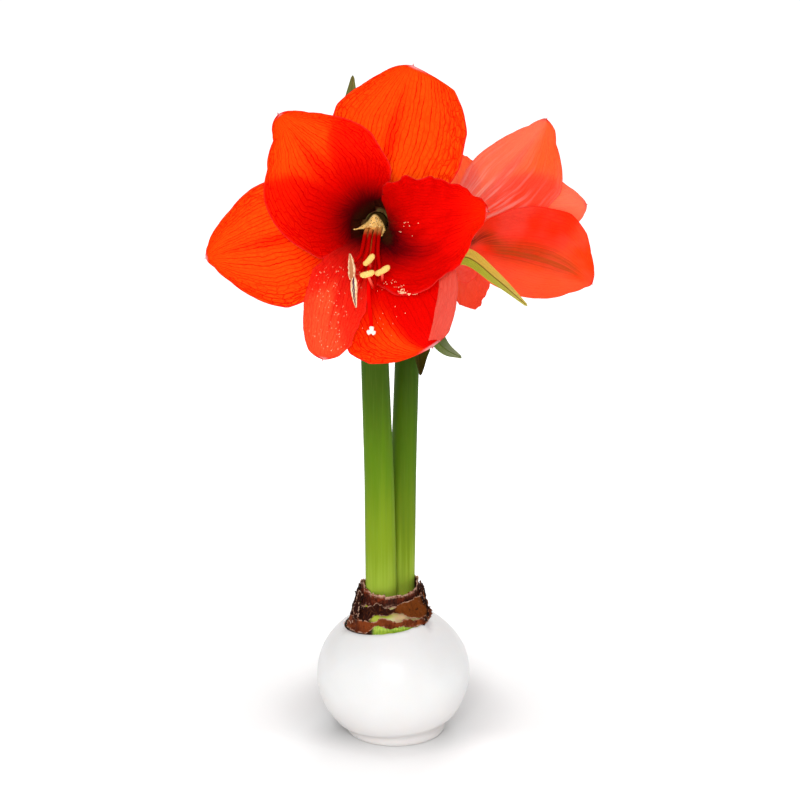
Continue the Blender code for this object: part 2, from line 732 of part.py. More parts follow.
def tepal_surface(flower, tepal, shares, steps):
    """Middle surface of a tepal as a grid, its rough normals, and its tip."""
    share = np.repeat(shares, len(steps))
    t = np.tile(steps, len(shares))
    along = share * tepal.length
    widths = np.where(t >= 0, half_width(tepal, share, True), half_width(tepal, share, False))
    across = t * widths
    forward = 1.0 if tepal.inner else -1.0
    wave = np.sin(2 * math.pi * tepal.waves * share + np.where(t >= 0, 0.0, 1.9) + tepal.azimuth)
    margin = np.abs(t) ** 3 * smooth((share - 0.35) / 0.4)
    rib = np.exp(-(across / 0.003) ** 2) * smooth(share / 0.2)
    height = forward * (LAYER + tepal.ruffle * (1 + wave) * margin) - 0.0005 * rib
    height = height + tepal.lift * smooth(along / 0.020)
    if tepal.roll:
        across, height = rolled(across, height, widths, share, tepal.roll)
    points, normals = flower.blade(tepal, along, across, height)
    end = np.array([tepal.length + MUCRO])
    level = np.array([forward * LAYER + tepal.lift])
    tip, tip_normal = flower.blade(tepal, end, np.zeros(1), level)
    size = (len(shares), len(steps), 3)
    return points.reshape(size), normals.reshape(size), tip[0], tip_normal[0]


def make_tepal(flower, tepal):
    """A tepal from just off the tube's rim to its tip, closer rows towards the tip."""
    shares = 1 - (1 - np.linspace(0, 0.97, 10)) ** 1.3
    layer = -LAYER if tepal.inner else LAYER
    start = CLEARANCE + (layer + BLADE_THICKNESS / 2) * math.sin(MOUTH_ANGLE)
    shares = shares + start / tepal.length * (1 - shares)
    steps = np.array((-1.0, -0.85, -0.55, -0.25, 0.0, 0.25, 0.55, 0.85, 1.0))
    points, towards, tip, tip_normal = tepal_surface(flower, tepal, shares, steps)
    normals = flower.turned(grid_normals(points, towards))
    name = f"tepal_{flower.name}_{tepal.name}"
    tip, tip_normal = flower.world(tip), flower.turned(tip_normal)
    return sheet(name, flower.world(points), normals, tip, tip_normal, BLADE_THICKNESS, "tepal")


def make_tube(flower):
    """The perianth tube: a short funnel whose rim carries the six tepals."""
    profile = (
        (0.0050, -TUBE_LENGTH),
        (0.0058, -TUBE_LENGTH + 0.0010),
        (0.0072, -0.4 * TUBE_LENGTH),
        (0.0096, -0.0005),
        (0.0098, 0.0),
        (0.0063, 0.0),
        (0.0056, -0.3 * TUBE_LENGTH),
        (0.0045, -TUBE_LENGTH + 0.0020),
    )
    rings = []
    for radius, height in profile:
        ring = []
        for k in range(TUBE_SIDES):
            angle = 2 * math.pi * k / TUBE_SIDES
            ring.append(flower.world((radius * math.cos(angle), radius * math.sin(angle), height)))
        rings.append(ring)
    return loft("perianth_tube_" + flower.name, rings, "tube")


def make_pedicel(flower, umbel):
    """The flower's own stalk, bending over into the three-ribbed ovary below the tube."""
    foot = np.array(umbel) + np.array((0, 0, CLEARANCE))
    ovary = flower.world((0, 0, -TUBE_LENGTH - OVARY_LENGTH))
    end = flower.world((0, 0, -TUBE_LENGTH - CLEARANCE))
    reach = 0.45 * np.linalg.norm(ovary - foot)
    upwards, backwards = foot + np.array((0, 0, reach)), ovary - flower.out * reach
    line = []
    radii = [0.0046, 0.0042, 0.0042, 0.0042, 0.0042, 0.0042, 0.0047]
    for k in range(len(radii)):
        t = k / (len(radii) + 1)
        start = (1 - t) ** 3 * foot + 3 * (1 - t) ** 2 * t * upwards
        line.append(start + 3 * (1 - t) * t ** 2 * backwards + t ** 3 * ovary)
    for share, radius in ((0.1, 0.0058), (0.4, 0.0067), (0.8, 0.0062), (1.0, 0.0050)):
        line.append(ovary + (end - ovary) * share)
        radii.append(radius)
    rings = tube_rings(line, radii, 15, lobes=0.04)
    rings[0] = [np.array((x, y, foot[2])) for x, y, _ in rings[0]]
    return loft("pedicel_" + flower.name, rings, "scape")


def make_corona(flower, mirror):
    """The cream scales that arch over the stamens in the throat, in three pointed lobes."""
    rows, columns = 6, 11
    ring_radius, length, lobe_length = 0.0053, 0.0130, 0.0045
    end = spline(((-8.0, -4.6), (-3.2, -0.6), (1.6, 3.6), (5.6, -1.2), (8.8, -7.6)), columns) / 1000
    grid = np.zeros((rows, columns, 3))
    for i in range(rows):
        share = i / (rows - 1)
        opened = share ** 1.3
        for j in range(columns):
            t = j / (columns - 1)
            angle = math.radians(196 - 212 * t)
            start = ring_radius * np.array((math.cos(angle), math.sin(angle)))
            lobe = 0.5 + 0.5 * math.cos(4 * math.pi * t)
            x, y = start * (1 - opened) + end[j] * opened
            grid[i, j] = (mirror * x, y, 0.0008 + (length + lobe_length * lobe) * share)
    normals = flower.turned(grid_normals(grid, (0, 1, 0.2)))
    middle = flower.world(grid)
    crest = columns // 2
    tip = middle[-1, crest] + flower.out * 0.0008
    return sheet("corona_" + flower.name, middle, normals, tip, normals[-1, crest], BLADE_THICKNESS, "corona")


def anther_rings(centre, direction, length, half_width):
    """Rings of a small rod with rounded ends."""
    direction = unit(direction)
    line = [np.asarray(centre) + direction * length * s for s in (-0.5, -0.44, -0.2, 0.2, 0.44, 0.5)]
    return tube_rings(line, [half_width * r for r in (0.35, 0.8, 1.0, 1.0, 0.8, 0.35)], 6)


def strand(angle, offset, beyond, mirror, droop):
    """Points of a filament or style from the tube's floor, through the bundle, to its end."""
    angle = math.radians(angle)
    x, y = RING_RADIUS * math.cos(angle), RING_RADIUS * math.sin(angle)
    points = [(x, y, STRAND_START), (x, y, STRAND_START / 3)]
    for (centre_x, centre_y, z), spread in zip(BUNDLE, (1.0, 1.2)):
        points.append((centre_x + spread * offset[0], centre_y + spread * offset[1], z))
    points += list(beyond)
    return [(mirror * x, y * (droop if z > 20 else 1), z) for x, y, z in points]


def make_stamen(flower, number, mirror, droop):
    """A filament with its anther at the end."""
    angle, offset, bends, anther, direction, length, width = STAMENS[number]
    points = strand(angle, offset, bends + (anther,), mirror, droop)
    path = spline(np.array(points) / 1000, 13)
    radii = FILAMENT_RADIUS * np.interp(np.linspace(0, 1, 13), (0, 0.6, 1), (1.0, 0.9, 0.5))
    rings = [flower.world(ring) for ring in tube_rings(path, radii, 6)]
    filament = loft(f"stamen_{flower.name}_{number + 1}", rings, "stamen")
    direction = (mirror * direction[0], direction[1], direction[2])
    rings = anther_rings(np.array(points[-1]) / 1000, direction, length / 1000, width / 1000)
    fuse(filament, [loft("anther", [flower.world(ring) for ring in rings], "stamen")])
    return filament


def make_pistil(flower, mirror, droop):
    """The style with its three-lobed stigma."""
    offset, bends = STYLE
    path = spline(np.array(strand(270, offset, bends, mirror, droop)) / 1000, 17)
    rings = [flower.world(ring) for ring in tube_rings(path, [STYLE_RADIUS] * 17, 6)]
    style = loft("pistil_" + flower.name, rings, "pistil")
    lobes = []
    for k in range(3):
        angle = math.radians(90 + 120 * k)
        direction = (math.cos(angle), math.sin(angle), 0.25)
        rings = anther_rings(path[-1] + unit(direction) * 0.0016, direction, 0.0040, 0.0012)
        lobes.append(loft("lobe", [flower.world(ring) for ring in rings], "pistil"))
    fuse(style, lobes)
    return style


def make_flower(flower, umbel, mirror, droop):
    """All the pieces of one flower; mirror and droop vary the stamens between flowers."""
    make_pedicel(flower, umbel)
    make_tube(flower)
    for tepal in flower.tepals:
        make_tepal(flower, tepal)
    make_corona(flower, mirror)
    for number in range(len(STAMENS)):
        make_stamen(flower, number, mirror, droop)
    make_pistil(flower, mirror, droop)


def make_collar():
    """Three papery rings round the neck, each further in and up, and two torn strips on them."""
    front, front_right, right = math.radians(270), math.radians(283), math.radians(20)

    def lower_edge(angle):
        return 0.0738 + 0.0018 * near(angle, front, 0.6)

    def middle_edge(angle):
        return 0.0822 + 0.0018 * near(angle, front_right, 0.5)

    def rim(angle):
        return 0.0950 - 0.0016 * near(angle, front, 0.9) + 0.0026 * near(angle, right, 0.4)

    make_tunic("tunic_lower", lower_edge, lambda angle: 0.0806, 0.0, 0.0010, 0.0012, 11)
    make_tunic("tunic_middle", middle_edge, lambda angle: 0.0890, 0.0004, 0.0008, 0.0018, 23)
    make_tunic("tunic_inner", lambda angle: 0.0855, rim, -0.0016, 0.0006, 0.0022, 37)
    make_flap("tunic_flap_left", math.radians(216), 0.34, 0.0805, 0.0925, 0.0020, 5)
    make_flap("tunic_flap_right", math.radians(352), 0.26, 0.0785, 0.0925, 0.0019, 8)


def main():
    clear_scene()
    make_wax_coat()
    make_bulb()
    make_collar()
    make_scape("scape_left", SCAPE_LEFT)
    make_scape("scape_right", SCAPE_RIGHT)
    for name, shape in BRACTS.items():
        make_bract(name, *shape)
    front = Flower("front", FRONT_MOUTH, FRONT_FACING, FRONT_TEPALS)
    rear = Flower("rear", REAR_MOUTH, REAR_FACING, REAR_TEPALS)
    make_flower(front, SCAPE_LEFT[-1][0], mirror=1, droop=1.0)
    make_flower(rear, SCAPE_RIGHT[-1][0], mirror=-1, droop=0.75)


main()
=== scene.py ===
"""A waxed amaryllis in flower: a bulb dipped in white wax that stands on its own foot of wax,
with two flower stalks, four withered spathe bracts and two red flowers.

Metres, +Z up, the front towards -Y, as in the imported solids.
"""

import math
import random
from functools import cached_property

import bmesh
import bpy
import numpy as np
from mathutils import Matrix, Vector


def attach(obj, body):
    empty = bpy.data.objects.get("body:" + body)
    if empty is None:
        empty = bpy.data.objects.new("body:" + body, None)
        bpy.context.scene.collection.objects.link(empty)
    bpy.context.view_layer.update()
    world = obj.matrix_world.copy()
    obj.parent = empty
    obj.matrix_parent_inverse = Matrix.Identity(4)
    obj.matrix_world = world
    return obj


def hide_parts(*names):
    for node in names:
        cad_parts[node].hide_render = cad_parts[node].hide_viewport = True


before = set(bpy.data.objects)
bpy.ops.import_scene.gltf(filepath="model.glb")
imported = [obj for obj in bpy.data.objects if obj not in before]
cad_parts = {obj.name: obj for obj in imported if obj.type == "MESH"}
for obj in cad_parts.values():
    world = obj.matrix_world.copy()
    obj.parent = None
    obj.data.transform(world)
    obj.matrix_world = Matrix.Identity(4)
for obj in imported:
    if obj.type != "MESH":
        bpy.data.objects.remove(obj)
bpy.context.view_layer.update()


# Viewpoint, table and light. The camera stands a metre in front of the plant and a little above
# the flowers, and looks 13 degrees down over a plain white table. Big soft lamps in front and
# overhead shape the wax, and one behind the flowers shines through the petals.
class Shade:
    """A socket in the nodes of a finish. Arithmetic on it adds Math nodes."""

    def __init__(self, tree, socket=None):
        self.tree = tree
        self.socket = socket

    def make(self, kind, settings=None, sockets=None, output=0):
        """Adds a node of a kind, with its settings and the values or links of its sockets."""
        node = self.tree.nodes.new("ShaderNode" + kind)
        for key, value in (settings or {}).items():
            setattr(node, key, value)
        for key, value in (sockets or {}).items():
            self.fill(node.inputs[key], value)
        return Shade(self.tree, node.outputs[output])

    def fill(self, socket, value):
        """Links a socket to a Shade, or sets it to a plain value."""
        if isinstance(value, Shade):
            self.tree.links.new(value.socket, socket)
        else:
            socket.default_value = value

    def maths(self, operation, *others):
        """A Math node that starts from this value."""
        return self.make("Math", {"operation": operation}, dict(enumerate((self, *others))))

    def __add__(self, other):
        return self.maths("ADD", other)

    def __sub__(self, other):
        return self.maths("SUBTRACT", other)

    def __rsub__(self, other):
        return self.make("Math", {"operation": "SUBTRACT"}, {0: other, 1: self})

    def __mul__(self, other):
        return self.maths("MULTIPLY", other)

    __radd__ = __add__
    __rmul__ = __mul__

    def step(self, low, high):
        """Rises smoothly from 0 where the value is low to 1 where it is high."""
        ends = {"Value": self, "From Min": low, "From Max": high}
        return self.make("MapRange", {"interpolation_type": "SMOOTHSTEP"}, ends)

    def near(self, middle, width):
        """1 where the value is at the middle, falling to 0 a width away on both sides."""
        return 1 - (self - middle).maths("ABSOLUTE").step(0.0, width)

    def tint(self, first, second):
        """The first colour where the value is 0 and the second where it is 1."""
        sockets = {0: self}
        for key, colour in ((6, first), (7, second)):
            sockets[key] = colour if isinstance(colour, Shade) else (*colour, 1)
        return self.make("Mix", {"data_type": "RGBA"}, sockets, 2)

    def stretched(self, by):
        """The coordinates, each times a number."""
        return self.make("VectorMath", {"operation": "MULTIPLY"}, {0: self, 1: by})

    def distance(self, point):
        """How far the coordinates are from a point."""
        return self.make("VectorMath", {"operation": "DISTANCE"}, {0: self, 1: point}, 1)

    def clouds(self, scale, detail=2.0, roughness=0.5):
        """Soft noise between 0 and 1 over the coordinates."""
        sockets = {"Vector": self, "Scale": scale, "Detail": detail, "Roughness": roughness}
        return self.make("TexNoise", {}, sockets)

    def cells(self, scale, feature="F1"):
        """Distance from the middles of random cells, or from their borders."""
        return self.make("TexVoronoi", {"feature": feature}, {"Vector": self, "Scale": scale})

    def part(self, index):
        """One number of a vector."""
        return self.make("SeparateXYZ", {}, {0: self}, index)

    def relief(self, strength, depth):
        """The surface raised by the value, up to a depth in metres."""
        return self.make("Bump", {}, {"Height": self, "Strength": strength, "Distance": depth})


class Finish:
    """A Principled material that is fed by Shades."""

    def __init__(self, name, roughness, specular=0.5):
        self.material = bpy.data.materials.new(name)
        self.material.use_nodes = True
        self.nodes = Shade(self.material.node_tree)
        self.shader = self.material.node_tree.nodes["Principled BSDF"]
        self.set({"Roughness": roughness, "Specular IOR Level": specular})

    @cached_property
    def place(self):
        """The point in space, in metres."""
        return self.nodes.make("TexCoord", {}, {}, 3)

    @cached_property
    def leaf(self):
        """Three numbers that the piece carries at every point."""
        return self.nodes.make("Attribute", {"attribute_name": "leaf"}, {}, 1)

    def set(self, values):
        """Gives sockets of the shader plain values, or links them to what varies."""
        for name, value in values.items():
            self.nodes.fill(self.shader.inputs[name], value)


EYE = (0.0028, -1.0, 0.442)
DOWNWARD = math.radians(13)
LENS = 76.7
SENSOR_WIDTH = 36.0
camera = bpy.data.objects.new("camera", bpy.data.cameras.new("camera"))
camera.location = EYE
camera.rotation_euler = (math.pi / 2 - DOWNWARD, 0, 0)
camera.data.sensor_width = SENSOR_WIDTH
camera.data.lens = LENS
bpy.context.scene.collection.objects.link(camera)
bpy.context.scene.camera = camera
bpy.context.scene.view_settings.view_transform = "Standard"

TABLE_REACH = 60.0
PAINTED_SHADOW_MIDDLE = (0.0, 0.030, 0.0)
bpy.ops.mesh.primitive_circle_add(vertices=96, radius=TABLE_REACH, fill_type="NGON")
table = bpy.context.object
table.name = "table"
white = Finish("white_table", 0.75, 0.2)
away = white.place.distance(PAINTED_SHADOW_MIDDLE)
# The table gives more and more light of its own away from the plant, so that it ends in plain white.
# Its weaker glow near the plant is a painted shadow, and its extra glow in front is painted light.
lifted = (1 - white.place.part(1).step(-0.040, 0.0)) * 0.09 + 0.24 * away.step(0.045, 0.15)
lifted = lifted + away.step(0.15, 0.9) * 0.51
white.set({
    # Painted shadow: the table is darker round the foot
    "Base Color": away.step(0.042, 0.090).tint((0.70, 0.70, 0.70), (0.90, 0.90, 0.90)),
    "Emission Color": lifted.tint((0.0, 0.0, 0.0), (1.0, 1.0, 1.0)),
    "Emission Strength": 1.0,
})
table.data.materials.append(white.material)

room = bpy.data.worlds.new("room")
room.use_nodes = True
bpy.context.scene.world = room
# White up to a little above the horizon, and grey from there on
sky = Shade(room.node_tree)
height = sky.make("TexCoord", {}, {}, 0).part(2)
glow = height.step(0.02, 0.12).tint((1.05, 1.05, 1.05), (0.48, 0.48, 0.48))
sky.fill(room.node_tree.nodes["Background"].inputs["Color"], glow)


def soft_lamp(name, place, aim, width, depth, power):
    """A flat lamp turned to a point, its sides in metres and its power in watts."""
    lamp = bpy.data.lights.new(name, "AREA")
    lamp.shape = "RECTANGLE"
    lamp.size = width
    lamp.size_y = depth
    lamp.energy = power
    made = bpy.data.objects.new(name, lamp)
    made.location = place
    made.rotation_euler = (Vector(aim) - Vector(place)).to_track_quat("-Z", "Y").to_euler()
    bpy.context.scene.collection.objects.link(made)


soft_lamp("front_lamp", (-0.1, -1.45, 0.90), (0.0, 0.0, 0.12), 0.6, 0.6, 13.0)
soft_lamp("top_lamp", (0.0, 0.1, 1.6), (0.0, 0.0, 0.0), 1.2, 1.2, 4.0)
soft_lamp("back_lamp", (0.2, 1.0, 0.75), (0.0, 0.0, 0.33), 0.8, 0.5, 5.0)


# Wax coat: the bulb is dipped in white paraffin wax two millimetres thick and pressed on a
# plate while the wax is soft, so that it stands in a flat foot. A thin lip is left round the
# neck, where the brown tunics show through the wax.
LEAN = math.radians(2.4)
BULB_RADIUS = 0.0475
EQUATOR_HEIGHT = 0.0370
SHOULDER_RISE = 0.0430
BELLY_DROP = 0.0440
WAX_THICKNESS = 0.0020
WAX_EDGE_HEIGHT = 0.0722
WAX_EDGE_TILT = 0.0022
WAX_LIP = 0.0013
FOOT_RADIUS = 0.0310
FOOT_HEIGHT = 0.0075
FOOT_EDGE = 0.0020
CREASE_DEPTH = 0.0014
CREASE_TILT = 0.0018
CAVITY_FLOOR = 0.0110
CAVITY_TOP = 0.0690
CAVITY_STEPS = 8
CLEARANCE = 0.0003
SHOULDER_START = 0.0600
SHOULDER = (
    (SHOULDER_START, 0.0300),
    (0.0710, 0.0275),
    (0.0727, 0.0269),
    (0.0753, 0.0258),
    (0.0800, 0.0240),
)
# Each tilt sets in at a first height, over a rise, and is gone at a second one, over a fall
EDGE_BAND = (0.055, 0.017, 0.094, 0.012)
CREASE_BAND = (0.0060, 0.0020, 0.0240, 0.0140)
FILLET = 0.0020
OUTSIDE_STEPS = 20
FOOT_ROWS = 14
COAT_ROWS = 96
# Waves in the wall, as a share of the radius, and in the edge, in metres
UNEVENNESS = 0.35 / 47
FRAYING = 0.00030


def smooth(x):
    """A smooth step from 0 to 1."""
    x = np.clip(x, 0.0, 1.0)
    return x * x * (3.0 - 2.0 * x)


def full_turn(count):
    """Equal angles once round."""
    return np.linspace(0, 2 * math.pi, count + 1)[:-1]


def circle(radius, angle, height=0.0):
    """Points at angles on a level circle round the Z axis."""
    level = (radius * np.cos(angle), radius * np.sin(angle), height)
    return np.stack(np.broadcast_arrays(*level), axis=-1)


def ripple(points, size, seed, waves=12):
    """A seeded wander between about -1 and 1 over points in space, with bumps of a size."""
    draw = np.random.RandomState(seed)
    total = 0
    for _ in range(waves):
        direction = draw.normal(size=3)
        direction *= 2 * math.pi * draw.uniform(0.6, 1.5) / (size * np.linalg.norm(direction))
        total = total + np.sin(points @ direction + draw.uniform(0, 2 * math.pi))
    return total * math.sqrt(2 / waves) * 0.6


def spline(controls, count):
    """Evenly numbered places on a Catmull-Rom curve through points, or through whole rings."""
    controls = np.asarray(controls, float)
    first = 2 * controls[0] - controls[1]
    last = 2 * controls[-1] - controls[-2]
    padded = np.concatenate([first[None], controls, last[None]])
    found = []
    for place in np.linspace(0, len(controls) - 1, count):
        i = min(int(place), len(controls) - 2)
        t = place - i
        a, b, c, d = padded[i:i + 4]
        square = (2 * a - 5 * b + 4 * c - d) * t ** 2
        cube = (3 * b - a - 3 * c + d) * t ** 3
        found.append(0.5 * (2 * b + (c - a) * t + square + cube))
    return np.array(found)


def leaning(radius, angle, height):
    """Points of the bulb, given round its own axis, after it has leaned over on its foot."""
    x = radius * np.cos(angle)
    points = (
        x * math.cos(LEAN) - height * math.sin(LEAN),
        radius * np.sin(angle),
        x * math.sin(LEAN) + height * math.cos(LEAN),
    )
    return np.stack(np.broadcast_arrays(*points), axis=-1)


def tilted(height, angle):
    """A height on the coat, whose crease and upper edge both dip towards the left."""
    tilt = 0
    for amount, band in ((WAX_EDGE_TILT, EDGE_BAND), (CREASE_TILT, CREASE_BAND)):
        low, rise, high, fall = band
        tilt = tilt + amount * smooth((height - low) / rise) * smooth((high - height) / fall)
    return height + tilt * np.cos(angle)


ROUND_THE_BULB = full_turn(144)


def body_ring(height, inset):
    """A ring on the bulb's outline, or that far inside it."""
    level = tilted(height, ROUND_THE_BULB)
    rise = np.where(level > EQUATOR_HEIGHT, SHOULDER_RISE, BELLY_DROP) - inset
    share = np.minimum(1.0, np.abs(level - EQUATOR_HEIGHT) / rise)
    radius = (BULB_RADIUS - inset) * np.sqrt(1 - share * share)
    neck = np.interp(level, *zip(*SHOULDER)) - inset
    blend = np.maximum(0, 1 - np.abs(radius - neck) / FILLET)
    run_out = np.maximum(radius, neck) + 0.25 * FILLET * blend * blend
    return leaning(np.where(level < SHOULDER_START, radius, run_out), ROUND_THE_BULB, level)


def even_heights(low, high, steps):
    """Heights from low to high, closer together towards both ends of the bulb."""
    ends = []
    for height in (low, high):
        rise = SHOULDER_RISE if height > EQUATOR_HEIGHT else BELLY_DROP
        ends.append(math.asin((height - EQUATOR_HEIGHT) / rise))
    angles = np.linspace(*ends, steps + 1)
    return EQUATOR_HEIGHT + np.where(angles > 0, SHOULDER_RISE, BELLY_DROP) * np.sin(angles)


def skin(name, points, faces, finish, leaf=None):
    """A smooth-shaded object; leaf holds three numbers a point for its finish to read."""
    mesh = bpy.data.meshes.new(name)
    mesh.from_pydata(np.asarray(points, float).tolist(), [], faces)
    shape = bmesh.new()
    shape.from_mesh(mesh)
    bmesh.ops.recalc_face_normals(shape, faces=shape.faces)
    shape.to_mesh(mesh)
    shape.free()
    mesh.shade_smooth()
    mesh.set_sharp_from_angle(angle=math.radians(60))
    mesh.materials.append(finish.material)
    if leaf is not None:
        layer = mesh.attributes.new("leaf", "FLOAT_VECTOR", "POINT")
        layer.data.foreach_set("vector", np.asarray(leaf, np.float32).ravel())
    made = bpy.data.objects.new(name, mesh)
    bpy.context.scene.collection.objects.link(made)
    return made


def turned(name, rings, finish, leaf=None):
    """A closed solid through rings of equally many points, each end closed by a fan."""
    rings = np.asarray(rings, float)
    rows, count = rings.shape[:2]
    faces = []
    for i in range(rows - 1):
        for j in range(count):
            a, b = i * count + j, i * count + (j + 1) % count
            faces.append((a, b, b + count, a + count))
    hubs = np.array([rings[0].mean(axis=0), rings[-1].mean(axis=0)])
    points = np.vstack([rings.reshape(-1, 3), hubs])
    for hub, first in ((rows * count, 0), (rows * count + 1, (rows - 1) * count)):
        for j in range(count):
            faces.append((first + j, hub, first + (j + 1) % count))
    if leaf is not None:
        leaf = np.vstack([leaf.reshape(-1, 3), leaf[0, :1], leaf[-1, :1]])
    return skin(name, points, faces, finish, leaf)


def place_on_plant(piece, node):
    """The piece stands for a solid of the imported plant."""
    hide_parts(node)
    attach(piece, "root")


def painted(colour, layers):
    """A colour with others laid over it, each given by where it shows and what it is."""
    for share, over in layers:
        colour = share.tint(colour, over)
    return colour


wax = Finish("white_wax", 0.38, 0.45)
mottle = wax.place.clouds(38.0, 3.0)
# Painted shade: the wax is darker and pinker towards its foot
low = 1 - wax.place.part(2).step(0.004, 0.045)
tinted = painted((0.80, 0.80, 0.795), (
    (mottle.step(0.3, 0.7), (0.78, 0.775, 0.765)),
    (low * 0.5, (0.74, 0.68, 0.66)),
))
# Where the brown neck shows through: the middle of a stain, its reach, its colour and its strength
STAINS = (
    ((-0.0285, -0.0120, 0.0735), 0.0095, (0.20, 0.10, 0.09), 0.62),
    ((0.0215, -0.0155, 0.0765), 0.0080, (0.24, 0.16, 0.20), 0.50),
    ((-0.0120, 0.0235, 0.0725), 0.0110, (0.22, 0.13, 0.08), 0.50),
)
for centre, reach, colour, strength in STAINS:
    cloudy = wax.place.distance(centre) + (wax.place.clouds(180.0) - 0.5) * 0.006
    tinted = ((1 - cloudy.step(0.001, reach)) * strength).tint(tinted, colour)
waves = wax.place.clouds(60.0, 2.0) + 0.25 * wax.place.clouds(420.0, 2.0)
wax.set({
    "Base Color": tinted,
    "Roughness": 0.34 + 0.12 * mottle,
    "Normal": waves.relief(0.25, 0.0006),
    "Subsurface Weight": 0.35,
    "Subsurface Radius": (1.0, 0.75, 0.6),
    "Subsurface Scale": 0.004,
})

crease = FOOT_HEIGHT + CREASE_DEPTH
foot = (
    (FOOT_RADIUS - FOOT_EDGE, 0.0),
    (FOOT_RADIUS - 0.3 * FOOT_EDGE, 0.3 * FOOT_EDGE),
    (FOOT_RADIUS, 1.1 * FOOT_EDGE),
    (FOOT_RADIUS - 0.2 * FOOT_EDGE, FOOT_HEIGHT - 0.6 * FOOT_EDGE),
)
half_lip = 0.5 * WAX_LIP
outside = even_heights(crease + CREASE_DEPTH, WAX_EDGE_HEIGHT - half_lip, OUTSIDE_STEPS)
inside = even_heights(CAVITY_FLOOR, CAVITY_TOP, CAVITY_STEPS)
lower = [circle(radius, ROUND_THE_BULB, height) for radius, height in foot]
lower.append(body_ring(crease, CREASE_DEPTH))
upper = [body_ring(z, 0.0) for z in outside]
lip = (body_ring(WAX_EDGE_HEIGHT, half_lip), body_ring(WAX_EDGE_HEIGHT - CLEARANCE, WAX_LIP))
upper += lip
hollow = [body_ring(z, WAX_THICKNESS) for z in inside[::-1]]
rings = np.concatenate([
    spline(lower, FOOT_ROWS)[:-1],
    spline([lower[-1]] + upper, COAT_ROWS)[:-1],
    [lip[-1]],
    hollow,
])
uneven = ripple(rings, 0.05, 3) * UNEVENNESS * smooth(rings[..., 2] / 0.012)
frayed = ripple(rings, 0.006, 4) * FRAYING * smooth((rings[..., 2] - 0.070) / 0.003)
rings = rings * (1 + uneven[..., None] * (1, 1, 0))
rings[..., 2] += frayed
place_on_plant(turned("wax_coat", rings, wax), "wax_coat")


# Bulb: moist cream and green flesh in layers, bare in the coat's mouth where the tunics have
# shrunk back. Each stalk stands in its own socket in the neck.
SOCKET_FLOOR = 0.0600
SCAPE_SIDES = 72
NECK_ROWS = 36
# Radii and heights of the neck
FLESH = (
    (0.0251, 0.0695),
    (0.0241, 0.0745),
    (0.0219, 0.0800),
    (0.0196, 0.0828),
    (0.0190, 0.0854),
    (0.0184, 0.0860),
)
# For each stalk, from its foot up: the middle, the half-width and the half-depth
SCAPES = {
    "scape_left": (
        ((-0.0083, -0.0052, SOCKET_FLOOR + 0.0004), 0.0094, 0.0079),
        ((-0.0086, -0.0052, 0.0930), 0.0097, 0.0080),
        ((-0.0098, -0.0060, 0.1630), 0.0090, 0.0076),
        ((-0.0120, -0.0080, 0.2340), 0.0083, 0.0073),
        ((-0.0137, -0.0090, 0.2900), 0.0080, 0.0074),
        ((-0.0141, -0.0092, 0.3030), 0.0088, 0.0080),
    ),
    "scape_right": (
        ((0.0029, 0.0068, SOCKET_FLOOR + 0.0004), 0.0085, 0.0071),
        ((0.0032, 0.0069, 0.0900), 0.0087, 0.0072),
        ((0.0047, 0.0090, 0.1590), 0.0080, 0.0070),
        ((0.0069, 0.0110, 0.2300), 0.0074, 0.0067),
        ((0.0079, 0.0116, 0.2620), 0.0074, 0.0068),
        ((0.0081, 0.0117, 0.2730), 0.0082, 0.0075),
    ),
}


def ellipse(centre, half_x, half_y):
    """A level ring round a centre."""
    return circle(1, full_turn(SCAPE_SIDES)) * (half_x, half_y, 0) + centre


flesh = Finish("bulb_flesh", 0.32)
flecks = flesh.place.stretched((1, 1, 0.35)).clouds(900.0, 3.0)
x, y, z = (flesh.place.part(k) for k in range(3))
bare = x.step(-0.0150, -0.0125) * (1 - x.step(0.0150, 0.0185)) * (1 - y.step(-0.006, 0.004))
fresh = flecks.step(0.36, 0.62).tint((0.25, 0.42, 0.020), (0.44, 0.60, 0.05))
green = bare.tint((0.055, 0.016, 0.006), fresh)
cream = painted((0.44, 0.52, 0.035), (
    (x.step(-0.006, 0.002), (0.58, 0.40, 0.22)),
    (flesh.place.clouds(210.0, 2.0).step(0.45, 0.7) * 0.5, (0.50, 0.42, 0.12)),
))
creases = flesh.place.stretched((1, 1, 0.4)).clouds(700.0, 3.0)
flesh.set({
    "Base Color": z.step(0.0760, 0.0790).tint(green, cream),
    "Normal": creases.relief(0.3, 0.0003),
    "Subsurface Weight": 0.25,
    "Subsurface Scale": 0.002,
})

inset = WAX_THICKNESS + 1.4 * CLEARANCE
heights = even_heights(CAVITY_FLOOR, CAVITY_TOP, CAVITY_STEPS)
rings = [body_ring(CAVITY_FLOOR + CLEARANCE, inset + CLEARANCE)]
rings += [body_ring(z, inset) for z in heights[1:-1]]
rings += [leaning(radius, ROUND_THE_BULB, z) for radius, z in FLESH]
within = CAVITY_STEPS - 1
bulb = turned("bulb", np.concatenate([rings[:within], spline(rings[within:], NECK_ROWS)]), flesh)
# Each socket is cut a hair wider than its stalk
for name, stations in SCAPES.items():
    (low_end, low_x, low_y), (high_end, high_x, high_y) = stations[:2]
    socket = (
        ellipse((*low_end[:2], SOCKET_FLOOR), low_x + CLEARANCE, low_y + CLEARANCE),
        ellipse(high_end, high_x + CLEARANCE, high_y + CLEARANCE),
    )
    cutter = turned("socket", socket, flesh)
    cut = bulb.modifiers.new("socket", "BOOLEAN")
    cut.operation = "DIFFERENCE"
    cut.object = cutter
    graph = bpy.context.evaluated_depsgraph_get()
    carved = bpy.data.meshes.new_from_object(bulb.evaluated_get(graph), depsgraph=graph)
    bulb.modifiers.clear()
    bulb.data = carved
    bpy.data.objects.remove(cutter, do_unlink=True)
place_on_plant(bulb, "bulb")


